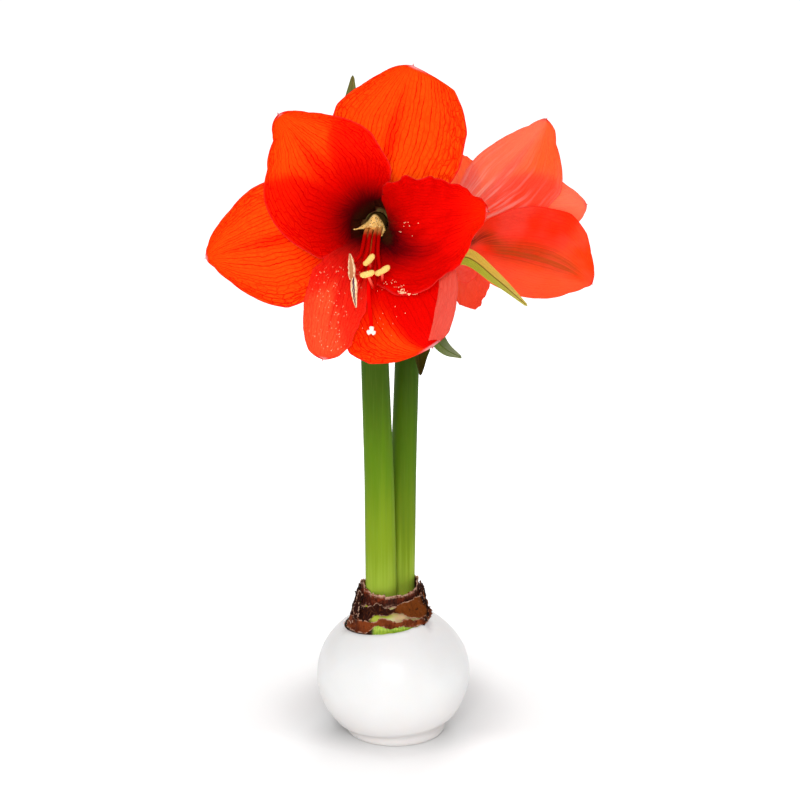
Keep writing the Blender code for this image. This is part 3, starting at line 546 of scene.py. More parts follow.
# Tunics: the dry brown skins of the bulb, papery and torn all round. They are three rings, one
# above the other, and two flaps of loose strips. Their edges are bleached and curl out.
TUNIC_THICKNESS = 0.0005
FULLER_BY = 0.0022
FULLER_AT = math.radians(42)
FULLER_ABOVE = 0.0830
NECK_RADIUS = 0.022
RING_ROWS = 26
RING_COLUMNS = 360
# Heights and radii of the neck that the tunics wrap
COLLAR = ((0.0700, 0.0266), (0.0730, 0.0256), (0.0840, 0.0214), (0.0975, 0.0180), (0.1040, 0.0182))
# Edges as degrees round from the front, towards the right, and heights in millimetres
LOWER_FOOT = (
    (-180, 72.2), (-120, 72.2), (-84, 72.2), (-60, 72.2), (-40, 72.2), (-34, 72.4), (-29, 74.0),
    (-23, 76.2), (-17, 76.8), (-11, 76.2), (-5, 75.1), (2, 74.7), (10, 74.4), (20, 73.9), (30, 73.0),
    (37, 72.2), (62, 72.2), (84, 72.2), (130, 72.2), (180, 72.2),
)
LOWER_HEAD = (
    (-180, 80.4), (-110, 80.8), (-76, 80.6), (-60, 80.2), (-46, 79.8), (-34, 78.8), (-26, 78.6),
    (-18, 80.4), (-10, 81.0), (-3, 79.8), (5, 78.6), (13, 77.9), (22, 78.3), (30, 77.6), (38, 75.9),
    (49, 75.2), (62, 75.6), (90, 78.6), (140, 80.6), (180, 80.4),
)
MIDDLE_FOOT = (
    (-180, 81.6), (-110, 81.4), (-76, 79.6), (-56, 78.4), (-42, 78.6), (-33, 79.6), (-27, 82.0),
    (-20, 83.0), (-12, 82.4), (-6, 82.0), (2, 82.8), (9, 83.2), (19, 82.0), (27, 79.4), (37, 77.6),
    (52, 75.6), (66, 75.2), (80, 77.6), (100, 80.6), (140, 82.0), (180, 81.6),
)
MIDDLE_HEAD = (
    (-180, 89.4), (-120, 90.2), (-80, 88.4), (-58, 86.8), (-44, 87.0), (-32, 87.6), (-22, 89.7),
    (-14, 89.0), (-6, 86.9), (2, 85.8), (9, 85.7), (14, 87.3), (22, 88.4), (36, 88.8), (52, 88.6),
    (80, 89.4), (130, 89.8), (180, 89.4),
)
INNER_FOOT = ((-180, 85.5), (180, 85.5))
INNER_HEAD = (
    (-180, 95.6), (-140, 96.6), (-100, 96.0), (-74, 99.0), (-60, 95.4), (-46, 94.4), (-30, 93.6),
    (-16, 93.2), (0, 93.0), (14, 92.6), (28, 92.4), (42, 92.4), (58, 93.0), (72, 94.4), (88, 95.8),
    (104, 95.6), (120, 97.6), (140, 95.6), (160, 96.4), (180, 95.6),
)


def unit(v):
    """The vector or vectors at length 1."""
    v = np.asarray(v, float)
    return v / np.linalg.norm(v, axis=-1, keepdims=True)


def sheet(name, middle, normals, half, finish, leaf, tip=None, looped=False):
    """A thin closed blade on a grid of rows by columns, half its thickness to each side.

    tip is a point that closes its last row, and looped joins its last column to the first.
    """
    rows, columns = middle.shape[:2]
    half = np.broadcast_to(np.asarray(half, float), (rows, columns))[..., None]
    front = (middle + normals * half).reshape(-1, 3)
    back = (middle - normals * half).reshape(-1, 3)
    size = rows * columns
    points = np.vstack([front, back])
    sides = np.ones((size, 1))
    flat_leaf = leaf.reshape(-1, 2)
    values = np.vstack([np.hstack([flat_leaf, sides]), np.hstack([flat_leaf, -sides])])
    faces = []
    wide = columns if looped else columns - 1
    for i in range(rows - 1):
        for j in range(wide):
            a, b = i * columns + j, i * columns + (j + 1) % columns
            quad = (a, b, b + columns, a + columns)
            faces.append(quad)
            faces.append(tuple(size + k for k in reversed(quad)))
    # Pairs of neighbours along each border, where the two faces are joined
    borders = [[(j, (j + 1) % columns) for j in range(wide)]]
    last = (rows - 1) * columns
    if tip is None:
        borders.append([(last + i, last + k) for i, k in borders[0]])
    else:
        points = np.vstack([points, tip])
        crest = leaf[-1, columns // 2]
        values = np.vstack([values, (crest[0], 1.0, 0.0)])
        for j in range(wide):
            a, b = last + j, last + j + 1
            faces.append((a, b, 2 * size))
            faces.append((size + b, size + a, 2 * size))
        faces.append((last, 2 * size, size + last))
        faces.append((last + wide, size + last + wide, 2 * size))
    if not looped:
        borders.append([(i * columns, (i + 1) * columns) for i in range(rows - 1)])
        borders.append([((i + 1) * columns - 1, (i + 2) * columns - 1) for i in range(rows - 1)])
    for border in borders:
        for a, b in border:
            faces.append((a, b, size + b, size + a))
    return skin(name, points, faces, finish, values)


def grid_normals(grid, towards, looped=False):
    """Unit normals of a grid of points, on the side that looks towards a direction."""
    wide = np.concatenate([grid[:, -1:], grid, grid[:, :1]], axis=1) if looped else grid
    along = np.gradient(wide, axis=0)
    across = np.gradient(wide, axis=1)
    normals = unit(np.cross(along, across))
    if looped:
        normals = normals[:, 1:-1]
    if (normals * np.asarray(towards, float)).sum(axis=-1).mean() < 0:
        normals = -normals
    return normals


def edge_line(points, angle):
    """The height of an edge at angles round the bulb's axis."""
    degrees, heights = zip(*points)
    turn = np.mod(np.degrees(angle) - 270 + 180, 360) - 180
    return np.interp(turn, degrees, heights) / 1000


def tunic_finish(name, dark, warm, share, warm_side=(1.0, 2.0), rim=0.0008, pale=(0.42, 0.58)):
    """Dry tunic: dark skin with warmer patches, fine ribs lengthwise and bleached edges."""
    tunic = Finish(name, 0.8, 0.04)
    place = tunic.place
    patches = place.clouds(95.0, 4.0, 0.62) + 0.35 * place.part(0).step(*warm_side)
    ribs = place.stretched((1, 1, 0.12)).clouds(1300.0, 3.0)
    threads = place.cells(150.0, "DISTANCE_TO_EDGE")
    torn = (1 - threads.step(0.0, 0.022)) * place.clouds(120.0).step(0.45, 0.6)
    to_edge = tunic.leaf.part(1) + (place.clouds(800.0) - 0.5) * 0.0006
    bleached = (1 - to_edge.step(0.0, rim)) * place.stretched((1, 1, 3.5)).clouds(260.0, 3.0).step(*pale)
    tunic.set({
        "Base Color": painted(dark, (
            (patches.step(0.62 - share, 0.80 - share), warm),
            (ribs.step(0.48, 0.75) * 0.35, tuple(1.6 * c for c in warm)),
            (torn * 0.35, (0.30, 0.11, 0.05)),
            (place.clouds(520.0, 2.0).step(0.62, 0.72) * 0.75, (0.008, 0.003, 0.003)),
            (bleached * 0.85, (0.60, 0.36, 0.25)),
        )),
        "Roughness": 0.55 + 0.3 * patches,
        "Normal": (ribs + 0.8 * place.clouds(420.0, 4.0)).relief(0.9, 0.0009),
    })
    return tunic


def joined(pieces, name):
    """One object made of several, each keeping its finish."""
    bpy.ops.object.select_all(action="DESELECT")
    for piece in pieces:
        piece.select_set(True)
    bpy.context.view_layer.objects.active = pieces[0]
    bpy.ops.object.join()
    pieces[0].name = name
    return pieces[0]


def fuller(angle, height):
    """How far the collar bulges where it passes the right stalk."""
    turn = np.mod(angle - FULLER_AT + math.pi, 2 * math.pi) - math.pi
    return FULLER_BY * np.exp(-(turn / 0.75) ** 2) * smooth((height - FULLER_ABOVE) / 0.008)


def papery_ring(name, foot_line, head_line, outward, fray, curl, seed, finish):
    """A torn ring of tunic between two edges, crumpled and curling out along them."""
    angle = full_turn(RING_COLUMNS)
    share = np.linspace(0, 1, RING_ROWS)[:, None]
    rim = circle(NECK_RADIUS, angle)
    ragged = [
        0.6 * ripple(rim, 0.0065, seed + k) + 0.6 * ripple(rim, 0.0019, seed + k + 1)
        for k in (0, 2)
    ]
    foot = edge_line(foot_line, angle)
    # Where its foot tucks down to the wax, it frays less and flares out
    low = smooth((0.0735 - foot) / 0.0010)
    foot = foot + fray * np.maximum(ragged[0], -0.3) * (1 - 0.8 * low)
    head = edge_line(head_line, angle) + fray * 1.3 * ragged[1]
    level = foot + (head - foot) * share
    height = tilted(level, angle)
    to_edge = np.minimum(share, 1 - share) * (head - foot)
    radius = np.interp(height, *zip(*COLLAR)) + outward + fuller(angle, level)
    points = leaning(radius, angle[None], height)
    creased = ripple(points * (1, 1, 0.45), 0.0042, seed + 4) * 0.00042
    creased = creased + ripple(points, 0.011, seed + 5) * 0.00040
    creased = creased - 0.0005 * np.abs(ripple(points * (1, 1, 0.6), 0.008, seed + 7))
    lifted = curl * np.exp(-(to_edge / 0.0012) ** 2) * (0.4 + 0.8 * ripple(points, 0.007, seed + 6))
    flared = 0.0006 * np.exp(-((level - foot) / 0.0012) ** 2) * low
    points = leaning(radius + creased + lifted + flared, angle[None], height)
    outwards = leaning(1.0, angle[None], 0 * height) - leaning(0.0, angle[None], 0 * height)
    normals = grid_normals(points, outwards, looped=True)
    leaf = np.stack([np.broadcast_to(angle, height.shape), to_edge], axis=-1)
    return sheet(name, points, normals, TUNIC_THICKNESS / 2, finish, leaf, looped=True)


def loose_strip(middle, spread, profile, slant, seed, finish, curl=0.0, fray=0.0010):
    """A strip of tunic off the collar: its foot's angle in degrees, and heights and radii in mm.

    slant turns its head that many degrees round the bulb.
    """
    rows, columns = 40, 25
    across = np.linspace(-1, 1, columns)[None]
    line = spline(np.array(profile) / 1000, rows)
    share = np.linspace(0, 1, rows)[:, None]
    bent = np.outer(share * 0.02, (1, 0, 0))
    wander = 0.45 * spread * ripple(bent, 0.007, seed)[:, None]
    wide = 1 + 0.35 * ripple(bent, 0.004, seed + 1)[:, None]
    angle = math.radians(middle) + math.radians(slant) * share + wander
    angle = angle + spread * across * wide * (1 - 0.35 * share)
    torn = fray * ripple(np.outer(across * 0.004, (1, 0, 0)), 0.002, seed + 2)
    level = line[:, :1] + torn * (2 * share - 1)
    radius = line[:, 1:] + curl * np.abs(across) ** 2 + 0 * level
    flat = leaning(radius, angle, level)
    radius = radius + ripple(flat * (1, 1, 0.6), 0.0035, seed + 3) * 0.00035
    points = leaning(radius, angle, level)
    normals = grid_normals(points, circle(1.0, math.radians(middle)))
    to_edge = np.minimum(np.minimum(share, 1 - share) * 0.012, (1 - np.abs(across)) * spread * 0.024)
    leaf = np.stack(np.broadcast_arrays(angle, to_edge), axis=-1)
    return sheet("strip", points, normals, TUNIC_THICKNESS / 2, finish, leaf)


def flakes(places, seed, finish):
    """Small curled shards off the collar: angles in degrees, heights, radii and sizes in mm."""
    draw = random.Random(seed)
    made = []
    share = np.linspace(0, 1, 9)[:, None]
    across = np.linspace(-1, 1, 7)[None]
    for middle, height, radius, size in places:
        length, width = size * draw.uniform(0.8, 1.3), size * draw.uniform(0.25, 0.5)
        slant = draw.uniform(-0.5, 0.5)
        bend = draw.uniform(0.5, 1.6)
        wave = draw.uniform(-0.3, 0.3)
        along = length * share
        aside = width * across * (1 - 0.75 * share ** 2) + slant * along + wave * np.sin(5 * share)
        out = length * 0.45 * (1 - np.cos(bend * share)) + width * 0.5 * across ** 2 + 0.1
        up = length * np.sin(bend * share) / bend + 0.15 * width * across
        turn = math.radians(middle) + aside / radius
        points = leaning((radius + out) / 1000, turn, (height + up) / 1000)
        normals = grid_normals(points, circle(1.0, math.radians(middle)))
        to_edge = np.minimum(1 - share, 1 - np.abs(across)) * width * 0.004
        leaf = np.stack(np.broadcast_arrays(turn, to_edge), axis=-1)
        made.append(sheet("flake", points, normals, 0.00016, finish, leaf))
    return made


red_brown = tunic_finish("tunic_red_brown", (0.085, 0.016, 0.005), (0.19, 0.040, 0.009), 0.24)
dark_brown = tunic_finish(
    "tunic_dark_brown", (0.022, 0.005, 0.003), (0.14, 0.034, 0.005), 0.06, (-0.003, 0.003), 0.0005,
)
rust_brown = tunic_finish(
    "tunic_rust_brown", (0.040, 0.010, 0.006), (0.17, 0.026, 0.007), 0.16, rim=0.0024, pale=(0.38, 0.54),
)
black_brown = tunic_finish(
    "tunic_black_brown", (0.014, 0.005, 0.004), (0.075, 0.018, 0.006), 0.10,
    rim=0.0003, pale=(0.56, 0.70),
)
# For each: its foot and head, how far out it stands, how it frays and curls, a seed and a finish
TUNIC_RINGS = (
    ("tunic_lower", LOWER_FOOT, LOWER_HEAD, 0.0, 0.00045, 0.0006, 11, red_brown),
    ("tunic_middle", MIDDLE_FOOT, MIDDLE_HEAD, 0.0004, 0.00045, 0.0007, 23, dark_brown),
    ("tunic_inner", INNER_FOOT, INNER_HEAD, -0.0016, 0.0008, 0.0005, 37, rust_brown),
)
# For each flake: where round the neck, its height, the radius there and its size
FOOT_FLAKES = ((205, 74.0, 26.6, 3.2), (208, 75.0, 26.0, 2.6))
for ring in TUNIC_RINGS:
    name, finish = ring[0], ring[-1]
    shards = flakes(FOOT_FLAKES, 3, finish) if name == "tunic_lower" else []
    place_on_plant(joined([papery_ring(*ring)] + shards, name), name)

# For each strip: where round the neck, its half-width in radians, its heights and radii, its slant,
# a seed and a finish, then how far its sides curl and its ends fray
LEFT_STRIPS = (
    (214, 0.12, ((79.8, 23.6), (84.0, 23.0), (88.0, 21.4), (93.0, 18.9)), -6, 5, dark_brown, 0.0016),
    (205, 0.09, ((82.0, 22.4), (88.0, 21.2), (92.0, 19.9), (96.5, 18.2)), -10, 6, black_brown, 0.0009),
)
LEFT_FLAKES = (
    (207, 84, 22.0, 3.2), (204, 88, 20.8, 2.8), (200, 92, 19.4, 3.0), (214, 90, 20.0, 2.4),
    (222, 84, 22.4, 2.2), (197, 95, 18.4, 2.6), (188, 90, 20.4, 2.8),
)
RIGHT_STRIPS = (
    (
        322, 0.06, ((73.6, 26.8), (76.0, 25.2), (80.0, 23.2), (88.0, 21.0), (95.0, 19.6)),
        30, 8, black_brown,
    ),
    (
        328, 0.07, ((74.4, 26.2), (77.0, 24.6), (81.0, 23.2), (89.0, 21.0), (96.0, 19.4)),
        28, 9, dark_brown,
    ),
    (336, 0.06, ((77.0, 25.0), (82.0, 23.0), (88.0, 21.4), (93.0, 20.2)), 26, 12, black_brown, 0.0008),
)
RIGHT_FLAKES = (
    (350, 90, 20.6, 3.0), (344, 93, 19.2, 2.4), (356, 86, 21.4, 2.8), (4, 91, 20.0, 2.6),
    (338, 88, 20.6, 2.2), (346, 84, 21.6, 2.6), (352, 79, 24.2, 2.0),
)
FLAPS = (
    ("tunic_flap_left", LEFT_STRIPS, LEFT_FLAKES, 6),
    ("tunic_flap_right", RIGHT_STRIPS, RIGHT_FLAKES, 9),
)
for name, strips, places, seed in FLAPS:
    pieces = [loose_strip(*strip) for strip in strips]
    place_on_plant(joined(pieces + flakes(places, seed, black_brown), name), name)


# Scapes: two smooth, hollow flower stalks, slightly flattened, yellow-green where they leave the
# bulb and dark green with a grey bloom higher up. They stand free in the neck.
scape_green = Finish("scape_green", 0.5, 0.05)
place = scape_green.place
streaks = place.stretched((1, 1, 0.018)).clouds(420.0, 3.0)
fine = place.stretched((1, 1, 0.02)).clouds(1600.0, 2.0)
up = place.part(2) + (streaks - 0.5) * 0.05
# Painted shade: higher up, the stalks are darker behind the middle of the plant, mostly the rear stalk,
# which the front one shades
rear = place.part(1).step(-0.004, 0.001) * up.step(0.100, 0.140)
scape_green.set({
    "Base Color": painted((0.28, 0.39, 0.035), (
        (up.step(0.090, 0.125), (0.190, 0.290, 0.012)),
        (up.step(0.120, 0.180), (0.095, 0.195, 0.005)),
        (up.step(0.170, 0.235), (0.046, 0.105, 0.004)),
        (streaks.step(0.55, 0.75) * 0.18, (0.16, 0.24, 0.008)),
        (fine.step(0.45, 0.75) * 0.10, (0.20, 0.26, 0.06)),
        (rear * 0.30, (0.018, 0.045, 0.002)),
    )),
    "Roughness": 0.42 + 0.14 * place.clouds(55.0),
    "Normal": (streaks + 0.3 * fine).relief(0.18, 0.0006),
    "Subsurface Weight": 0.10,
    "Subsurface Scale": 0.003,
})

for name, stations in SCAPES.items():
    values = np.array([(*centre, half_x, half_y) for centre, half_x, half_y in stations])
    rings = []
    for height in np.linspace(values[0, 2], values[-1, 2], 110):
        x, y, z, half_x, half_y = (np.interp(height, values[:, 2], column) for column in values.T)
        rings.append(ellipse((x, y, z), half_x, half_y))
    rings = np.array(rings)
    # Each ring becomes a weighted mean of its neighbours, so that the stalk bends without corners
    kernel = np.array((1, 4, 8, 10, 8, 4, 1)) / 36
    padded = np.pad(rings, ((3, 3), (0, 0), (0, 0)), mode="reflect", reflect_type="odd")
    rings = sum(weight * padded[k:k + len(rings)] for k, weight in enumerate(kernel))
    sideways = rings - rings.mean(axis=1, keepdims=True)
    rings = rings + sideways * (ripple(rings * (1, 1, 0.15), 0.012, 51) * 0.010)[..., None]
    place_on_plant(turned(name, rings, scape_green), name)


# Spathe bracts: two at the top of each stalk, which held the buds. They have withered to thin
# folded blades that stand, arch over or hang, green where still fresh and ochre where dry.
BLADE_THICKNESS = 0.0007
BRACT_ROWS = 74
BRACT_COLUMNS = 25
FOLD_SHARE = 0.36
RIB_HEIGHT = 0.00012
# For each: its middle line from foot to tip, its half-widths, where it faces and its twist
BRACTS = {
    "bract_upright": (
        (
            (-0.0226, -0.0051, 0.2960), (-0.0233, -0.0047, 0.3040), (-0.0262, 0.0005, 0.3220),
            (-0.0282, 0.0065, 0.3500), (-0.0266, 0.0120, 0.3800), (-0.0248, 0.0150, 0.4030),
        ),
        (0.0042, 0.0070, 0.0088, 0.0078, 0.0056, 0.0006),
        (0.88, -0.47, 0.0),
        -60,
    ),
    "bract_trailing": (
        (
            (-0.0084, -0.0165, 0.2940), (-0.0074, -0.0186, 0.3010), (0.0000, -0.0225, 0.2970),
            (0.0120, -0.0185, 0.2700), (0.0262, -0.0120, 0.2475), (0.0395, -0.0080, 0.2385),
        ),
        (0.0042, 0.0062, 0.0080, 0.0074, 0.0052, 0.0006),
        (-0.57, 0.82, 0.0),
        40,
    ),
    "bract_hanging": (
        (
            (0.0107, 0.0034, 0.2640), (0.0116, 0.0012, 0.2700), (0.0150, -0.0040, 0.2680),
            (0.0148, -0.0055, 0.2560), (0.0143, -0.0036, 0.2410), (0.0150, -0.0020, 0.2265),
        ),
        (0.0036, 0.0052, 0.0064, 0.0078, 0.0064, 0.0006),
        (-0.30, 0.95, 0.0),
        0,
    ),
    "bract_arching": (
        (
            (0.0172, 0.0100, 0.2650), (0.0184, 0.0096, 0.2740), (0.0250, 0.0065, 0.2890),
            (0.0415, 0.0010, 0.2975), (0.0595, -0.0050, 0.2855), (0.0780, -0.0100, 0.2700),
        ),
        (0.0038, 0.0060, 0.0064, 0.0052, 0.0036, 0.0006),
        (-0.98, 0.20, 0.0),
        58,
    ),
}
# For each: the body's two shades, the fold, the clockwise half and the tip
BRACT_COLOURS = {
    "bract_upright": (
        (0.20, 0.24, 0.035), (0.30, 0.32, 0.06), (0.14, 0.10, 0.03), (0.20, 0.21, 0.04),
        (0.14, 0.13, 0.04),
    ),
    # Its pale grey tip is a painted sheen
    "bract_trailing": (
        (0.10, 0.17, 0.010), (0.17, 0.25, 0.03), (0.09, 0.14, 0.01), (0.06, 0.10, 0.01),
        (0.34, 0.38, 0.22),
    ),
    "bract_hanging": (
        (0.046, 0.042, 0.001), (0.070, 0.064, 0.002), (0.035, 0.022, 0.001), (0.056, 0.048, 0.001),
        (0.035, 0.018, 0.001),
    ),
    "bract_arching": (
        (0.42, 0.46, 0.030), (0.55, 0.52, 0.060), (0.12, 0.045, 0.01), (0.76, 0.48, 0.075),
        (0.50, 0.44, 0.10),
    ),
}


def bract_finish(name, body_colour, light_colour, fold_colour, half_colour, tip_colour):
    """A bract's papery skin, ribbed lengthwise and darker along the fold.

    Its tip has a colour of its own: drier on most bracts, a painted grey sheen on the trailing one.
    """
    papery = Finish(name, 0.6, 0.03)
    leaf = papery.leaf
    grain = leaf.stretched((1.0, 0.05, 0.0)).clouds(26.0, 3.0)
    ribs = leaf.make("TexWave", {"bands_direction": "X"}, {
        "Vector": leaf.stretched((1.0, 0.02, 0.0)), "Scale": 3.4, "Distortion": 1.5, "Detail": 1.0,
    }, 1)
    papery.set({
        "Base Color": painted(body_colour, (
            (grain.step(0.35, 0.65), light_colour),
            (1 - leaf.part(0).step(-0.04, 0.04), half_colour),
            (ribs.step(0.55, 0.95) * 0.35, tuple(0.55 * c for c in body_colour)),
            (leaf.part(1).step(0.72, 0.98) * 0.75, tip_colour),
            (leaf.part(0).near(0.0, 0.11) * 0.9, fold_colour),
        )),
        "Normal": (ribs + 0.5 * papery.place.clouds(700.0, 3.0)).relief(0.5, 0.0005),
    })
    return papery


for name, (line, half_widths, face, twist) in BRACTS.items():
    finish = bract_finish(name + "_skin", *BRACT_COLOURS[name])
    path = spline(line, BRACT_ROWS + 1)
    stations = np.linspace(0, 1, len(half_widths))
    widths = np.interp(np.linspace(0, 1, BRACT_ROWS + 1), stations, half_widths)
    tangents = unit(np.gradient(path, axis=0))
    t = np.linspace(-1, 1, BRACT_COLUMNS)
    grid = np.zeros((BRACT_ROWS, BRACT_COLUMNS, 3))
    towards = np.zeros_like(grid)
    for i in range(BRACT_ROWS):
        face = unit(np.asarray(face) - tangents[i] * (np.asarray(face) @ tangents[i]))
        side = np.cross(tangents[i], face)
        turn = math.radians(twist) * smooth(i / BRACT_ROWS / 0.7)
        upwards = face * math.cos(turn) + side * math.sin(turn)
        sideways = side * math.cos(turn) - face * math.sin(turn)
        fold = FOLD_SHARE * widths[i] * np.abs(t) ** 1.7
        ridged = RIB_HEIGHT * np.cos(t * 19)
        grid[i] = path[i] + sideways * (widths[i] * t)[:, None] + upwards * (fold + ridged)[:, None]
        towards[i] = upwards
    grid = grid + towards * (ripple(grid, 0.014, 61) * 0.0003 * np.abs(t))[..., None]
    normals = grid_normals(grid, towards)
    share = np.linspace(0, 1, BRACT_ROWS)[:, None]
    leaf_values = np.stack(np.broadcast_arrays(t, share), axis=-1)
    thinning = 0.5 * BLADE_THICKNESS * (1 - 0.6 * np.abs(t) ** 3)
    piece = sheet(name, grid, normals, thinning, finish, leaf_values, tip=path[-1])
    place_on_plant(piece, name)


# Flowers: each hangs by its own short stalk, which swells into a three-ribbed green ovary below
# a short perianth tube. The tube opens into a funnel of six tepals, three outer and three inner.
TUBE_LENGTH = 0.0200
OVARY_LENGTH = 0.0130
MOUTH_RADIUS = 0.0080
MOUTH_ANGLE = math.radians(14)
FLARE_REACH = 0.095
FUNNEL_REACH = 0.18
FUNNEL_STEPS = 100
# Beyond this share of the flare the funnel bends back, up to the steepest slope
RECURVE_FROM = 0.7
STEEPEST = math.radians(150)
# Where a blade begins to flatten across the funnel, and over what length
FLAT_FROM = 0.045
FLAT_OVER = 0.040
LAYER = 0.0011
MUCRO = 0.0015
FOLD_RADIUS = 0.0013
FOLD_TURN = math.radians(160)
STATIONS = (0.0, 0.15, 0.35, 0.55, 0.68, 0.80, 0.90, 0.97, 1.0)
BASE_HALF_WIDTH = 4.6


class Tepal:
    """One petal-like segment: its place round the flower's axis, its outline and its waves.

    Half-widths are in millimetres at STATIONS, first on its anticlockwise side and then on its
    clockwise side, as seen from the front. The inner three lie in front of the outer. lift moves
    it forward and sway bends its tip anticlockwise. fold is how much of that margin is folded over
    to the front at STATIONS. ruffle and waves are the height and the number of the waves in the
    margins, frill crimps them and crumple wrinkles the blade.
    """

    def __init__(self, name, azimuth, inner, length, opening, left, right, sway=0.0, lift=0.0,
                 ruffle=0.0010, waves=3.0, fold=None, frill=0.3, crumple=1.0):
        self.name = name
        self.azimuth = math.radians(azimuth)
        self.forward = 1.0 if inner else -1.0
        self.length = length
        self.opening = math.radians(opening)
        self.left = (BASE_HALF_WIDTH,) + left + (0.0,)
        self.right = (BASE_HALF_WIDTH,) + right + (0.0,)
        self.sway = sway
        self.lift = lift
        self.ruffle = ruffle
        self.waves = waves
        self.fold = fold
        self.frill = frill
        self.crumple = crumple


class Flower:
    """A flower's frame and the funnel that its tepals lie on.

    umbel is the top of its stalk and mouth the middle of its tube's mouth. mirror is -1 where its
    stamens are mirrored, and droop how far they hang, against those of the front flower.
    """

    def __init__(self, name, umbel, mouth, facing, mirror, droop, tepals):
        self.name = name
        self.umbel = np.array(umbel)
        self.mouth = np.array(mouth)
        self.out = unit(facing)
        self.up = unit(np.array((0.0, 0.0, 1.0)) - self.out[2] * self.out)
        self.right = np.cross(self.up, self.out)
        self.mirror = mirror
        self.droop = droop
        self.tepals = tepals

    def aimed(self, local):
        """Directions of the flower's frame in world space."""
        return np.asarray(local, float) @ np.stack([self.right, self.up, self.out])

    def world(self, local):
        """Points of the flower's frame in world space."""
        return self.mouth + self.aimed(local)

    def round_the_flower(self, azimuth, values):
        """Blends one value per tepal smoothly round the axis."""
        order = sorted(range(len(self.tepals)), key=lambda k: self.tepals[k].azimuth)
        angles = np.array([self.tepals[k].azimuth for k in order])
        found = np.array([values[k] for k in order])
        angles = np.concatenate([angles - 2 * math.pi, angles, angles + 2 * math.pi])
        found = np.concatenate([found] * 3)
        azimuth = np.mod(azimuth, 2 * math.pi)
        i = np.searchsorted(angles, azimuth) - 1
        t = smooth((azimuth - angles[i]) / (angles[i + 1] - angles[i]))
        return found[i] * (1 - t) + found[i + 1] * t

    def meridians(self, azimuth):
        """Distance along the funnel, and its height, radius and slope there, at each azimuth."""
        opening = self.round_the_flower(azimuth, [t.opening for t in self.tepals])[:, None]
        along = np.linspace(0, FUNNEL_REACH, FUNNEL_STEPS)
        share = along / FLARE_REACH
        slope = MOUTH_ANGLE + (opening - MOUTH_ANGLE) * share + np.maximum(0, share - RECURVE_FROM) ** 2
        slope = np.minimum(slope, STEEPEST)
        middle = 0.5 * (slope[:, 1:] + slope[:, :-1])
        start = np.zeros((len(slope), 1))
        rise = np.hstack([start, np.cumsum(np.cos(middle) * along[1], axis=1)])
        reach = np.hstack([start, np.cumsum(np.sin(middle) * along[1], axis=1)])
        return along, rise, MOUTH_RADIUS + reach, slope

    def blade(self, tepal, along, across, height):
        """Local points and normals of a tepal at distances along and across it, raised by height."""
        line, _, radii, _ = self.meridians(np.array([tepal.azimuth]))
        radius = np.interp(along, line, radii[0])
        # Its width runs round the funnel near the mouth and straight across farther out
        flat = smooth((along - FLAT_FROM) / FLAT_OVER)
        turn = (1 - flat) * across / radius + flat * np.arctan2(across, radius)
        turn = turn + tepal.sway * (along / tepal.length) ** 2 / radius
        wanted = (1 - flat) * radius + flat * np.hypot(radius, across)
        azimuth = tepal.azimuth + turn
        _, rises, radii, slopes = self.meridians(azimuth)
        # Height and slope are read off each point's own meridian, at the radius it should have
        upper = np.clip((radii < wanted[:, None]).sum(axis=1), 1, radii.shape[1] - 1)
        row = np.arange(len(wanted))
        below, above = radii[row, upper - 1], radii[row, upper]
        t = np.clip((wanted - below) / (above - below), 0, 1)
        rise = rises[row, upper - 1] * (1 - t) + rises[row, upper] * t
        slope = slopes[row, upper - 1] * (1 - t) + slopes[row, upper] * t
        cos_a, sin_a = np.cos(azimuth), np.sin(azimuth)
        points = np.stack([wanted * cos_a, wanted * sin_a, rise], axis=1)
        normals = np.stack([-np.cos(slope) * cos_a, -np.cos(slope) * sin_a, np.sin(slope)], axis=1)
        return points + normals * height[:, None], normals


FRONT_TEPALS = (
    Tepal("top", 62, False, 0.1015, 84, (9, 24, 33, 32, 22.5, 14.5, 8),
          (9, 27, 41, 43, 39.5, 32.5, 25), sway=0.010),
    Tepal("upper_left", 131, True, 0.085, 80, (9, 39, 54, 43, 23, 10.5, 6),
          (9, 25, 41, 37, 25, 14, 7), sway=-0.003, ruffle=0.0016, frill=0.8),
    Tepal("left", 198, False, 0.101, 84, (9, 23, 37, 38, 27, 16, 6), (9, 24, 34, 29, 21, 14, 6)),
    Tepal("lower_left", 259, True, 0.096, 82, (7, 13, 15, 17, 16, 14, 8),
          (6, 12, 18, 17, 15, 12, 8), sway=0.005, frill=0.8, crumple=2.0),
    Tepal("lower_right", 303, False, 0.1005, 84, (9, 22, 35, 43, 42, 36, 28),
          (9, 20, 33, 37, 38, 32, 19), sway=0.003, fold=(0, 0, 0, 1.5, 6, 10.5, 12, 12, 0)),
    Tepal("right", 352, True, 0.095, 80, (9, 24, 25, 21, 17, 12, 6), (9, 29, 45, 44, 32, 17, 8),
          sway=0.013, lift=0.0018, ruffle=0.0018, waves=4.0, frill=3.2, crumple=2.6),
)
REAR_TEPALS = (
    Tepal("upper", 114, False, 0.0995, 62, (9, 24, 34, 34, 24, 14, 9), (9, 24, 31, 23, 15, 8, 4),
          sway=0.004, ruffle=0.0004),
    Tepal("near", 170, True, 0.090, 62, (8, 20, 28, 28, 22, 12, 6), (8, 20, 28, 28, 22, 13, 6),
          frill=0.8),
    Tepal("lower", 219, False, 0.1015, 62, (9, 24, 34, 33, 24, 13, 5), (9, 24, 34, 36, 29, 18, 9),
          sway=-0.006, lift=-0.0014),
    Tepal("bottom", 303, True, 0.0970, 78, (8, 17, 25, 28, 26, 20, 13), (8, 16, 18, 17, 15, 14, 11),
          frill=0.8),
    Tepal("far", 340, False, 0.098, 62, (9, 24, 33, 33, 27, 16, 8), (9, 24, 33, 33, 27, 16, 8)),
    Tepal("far_upper", 44, True, 0.081, 62, (8, 19, 24, 21, 15, 9, 5), (8, 17, 22, 22, 16, 9, 5),
          frill=0.8),
)
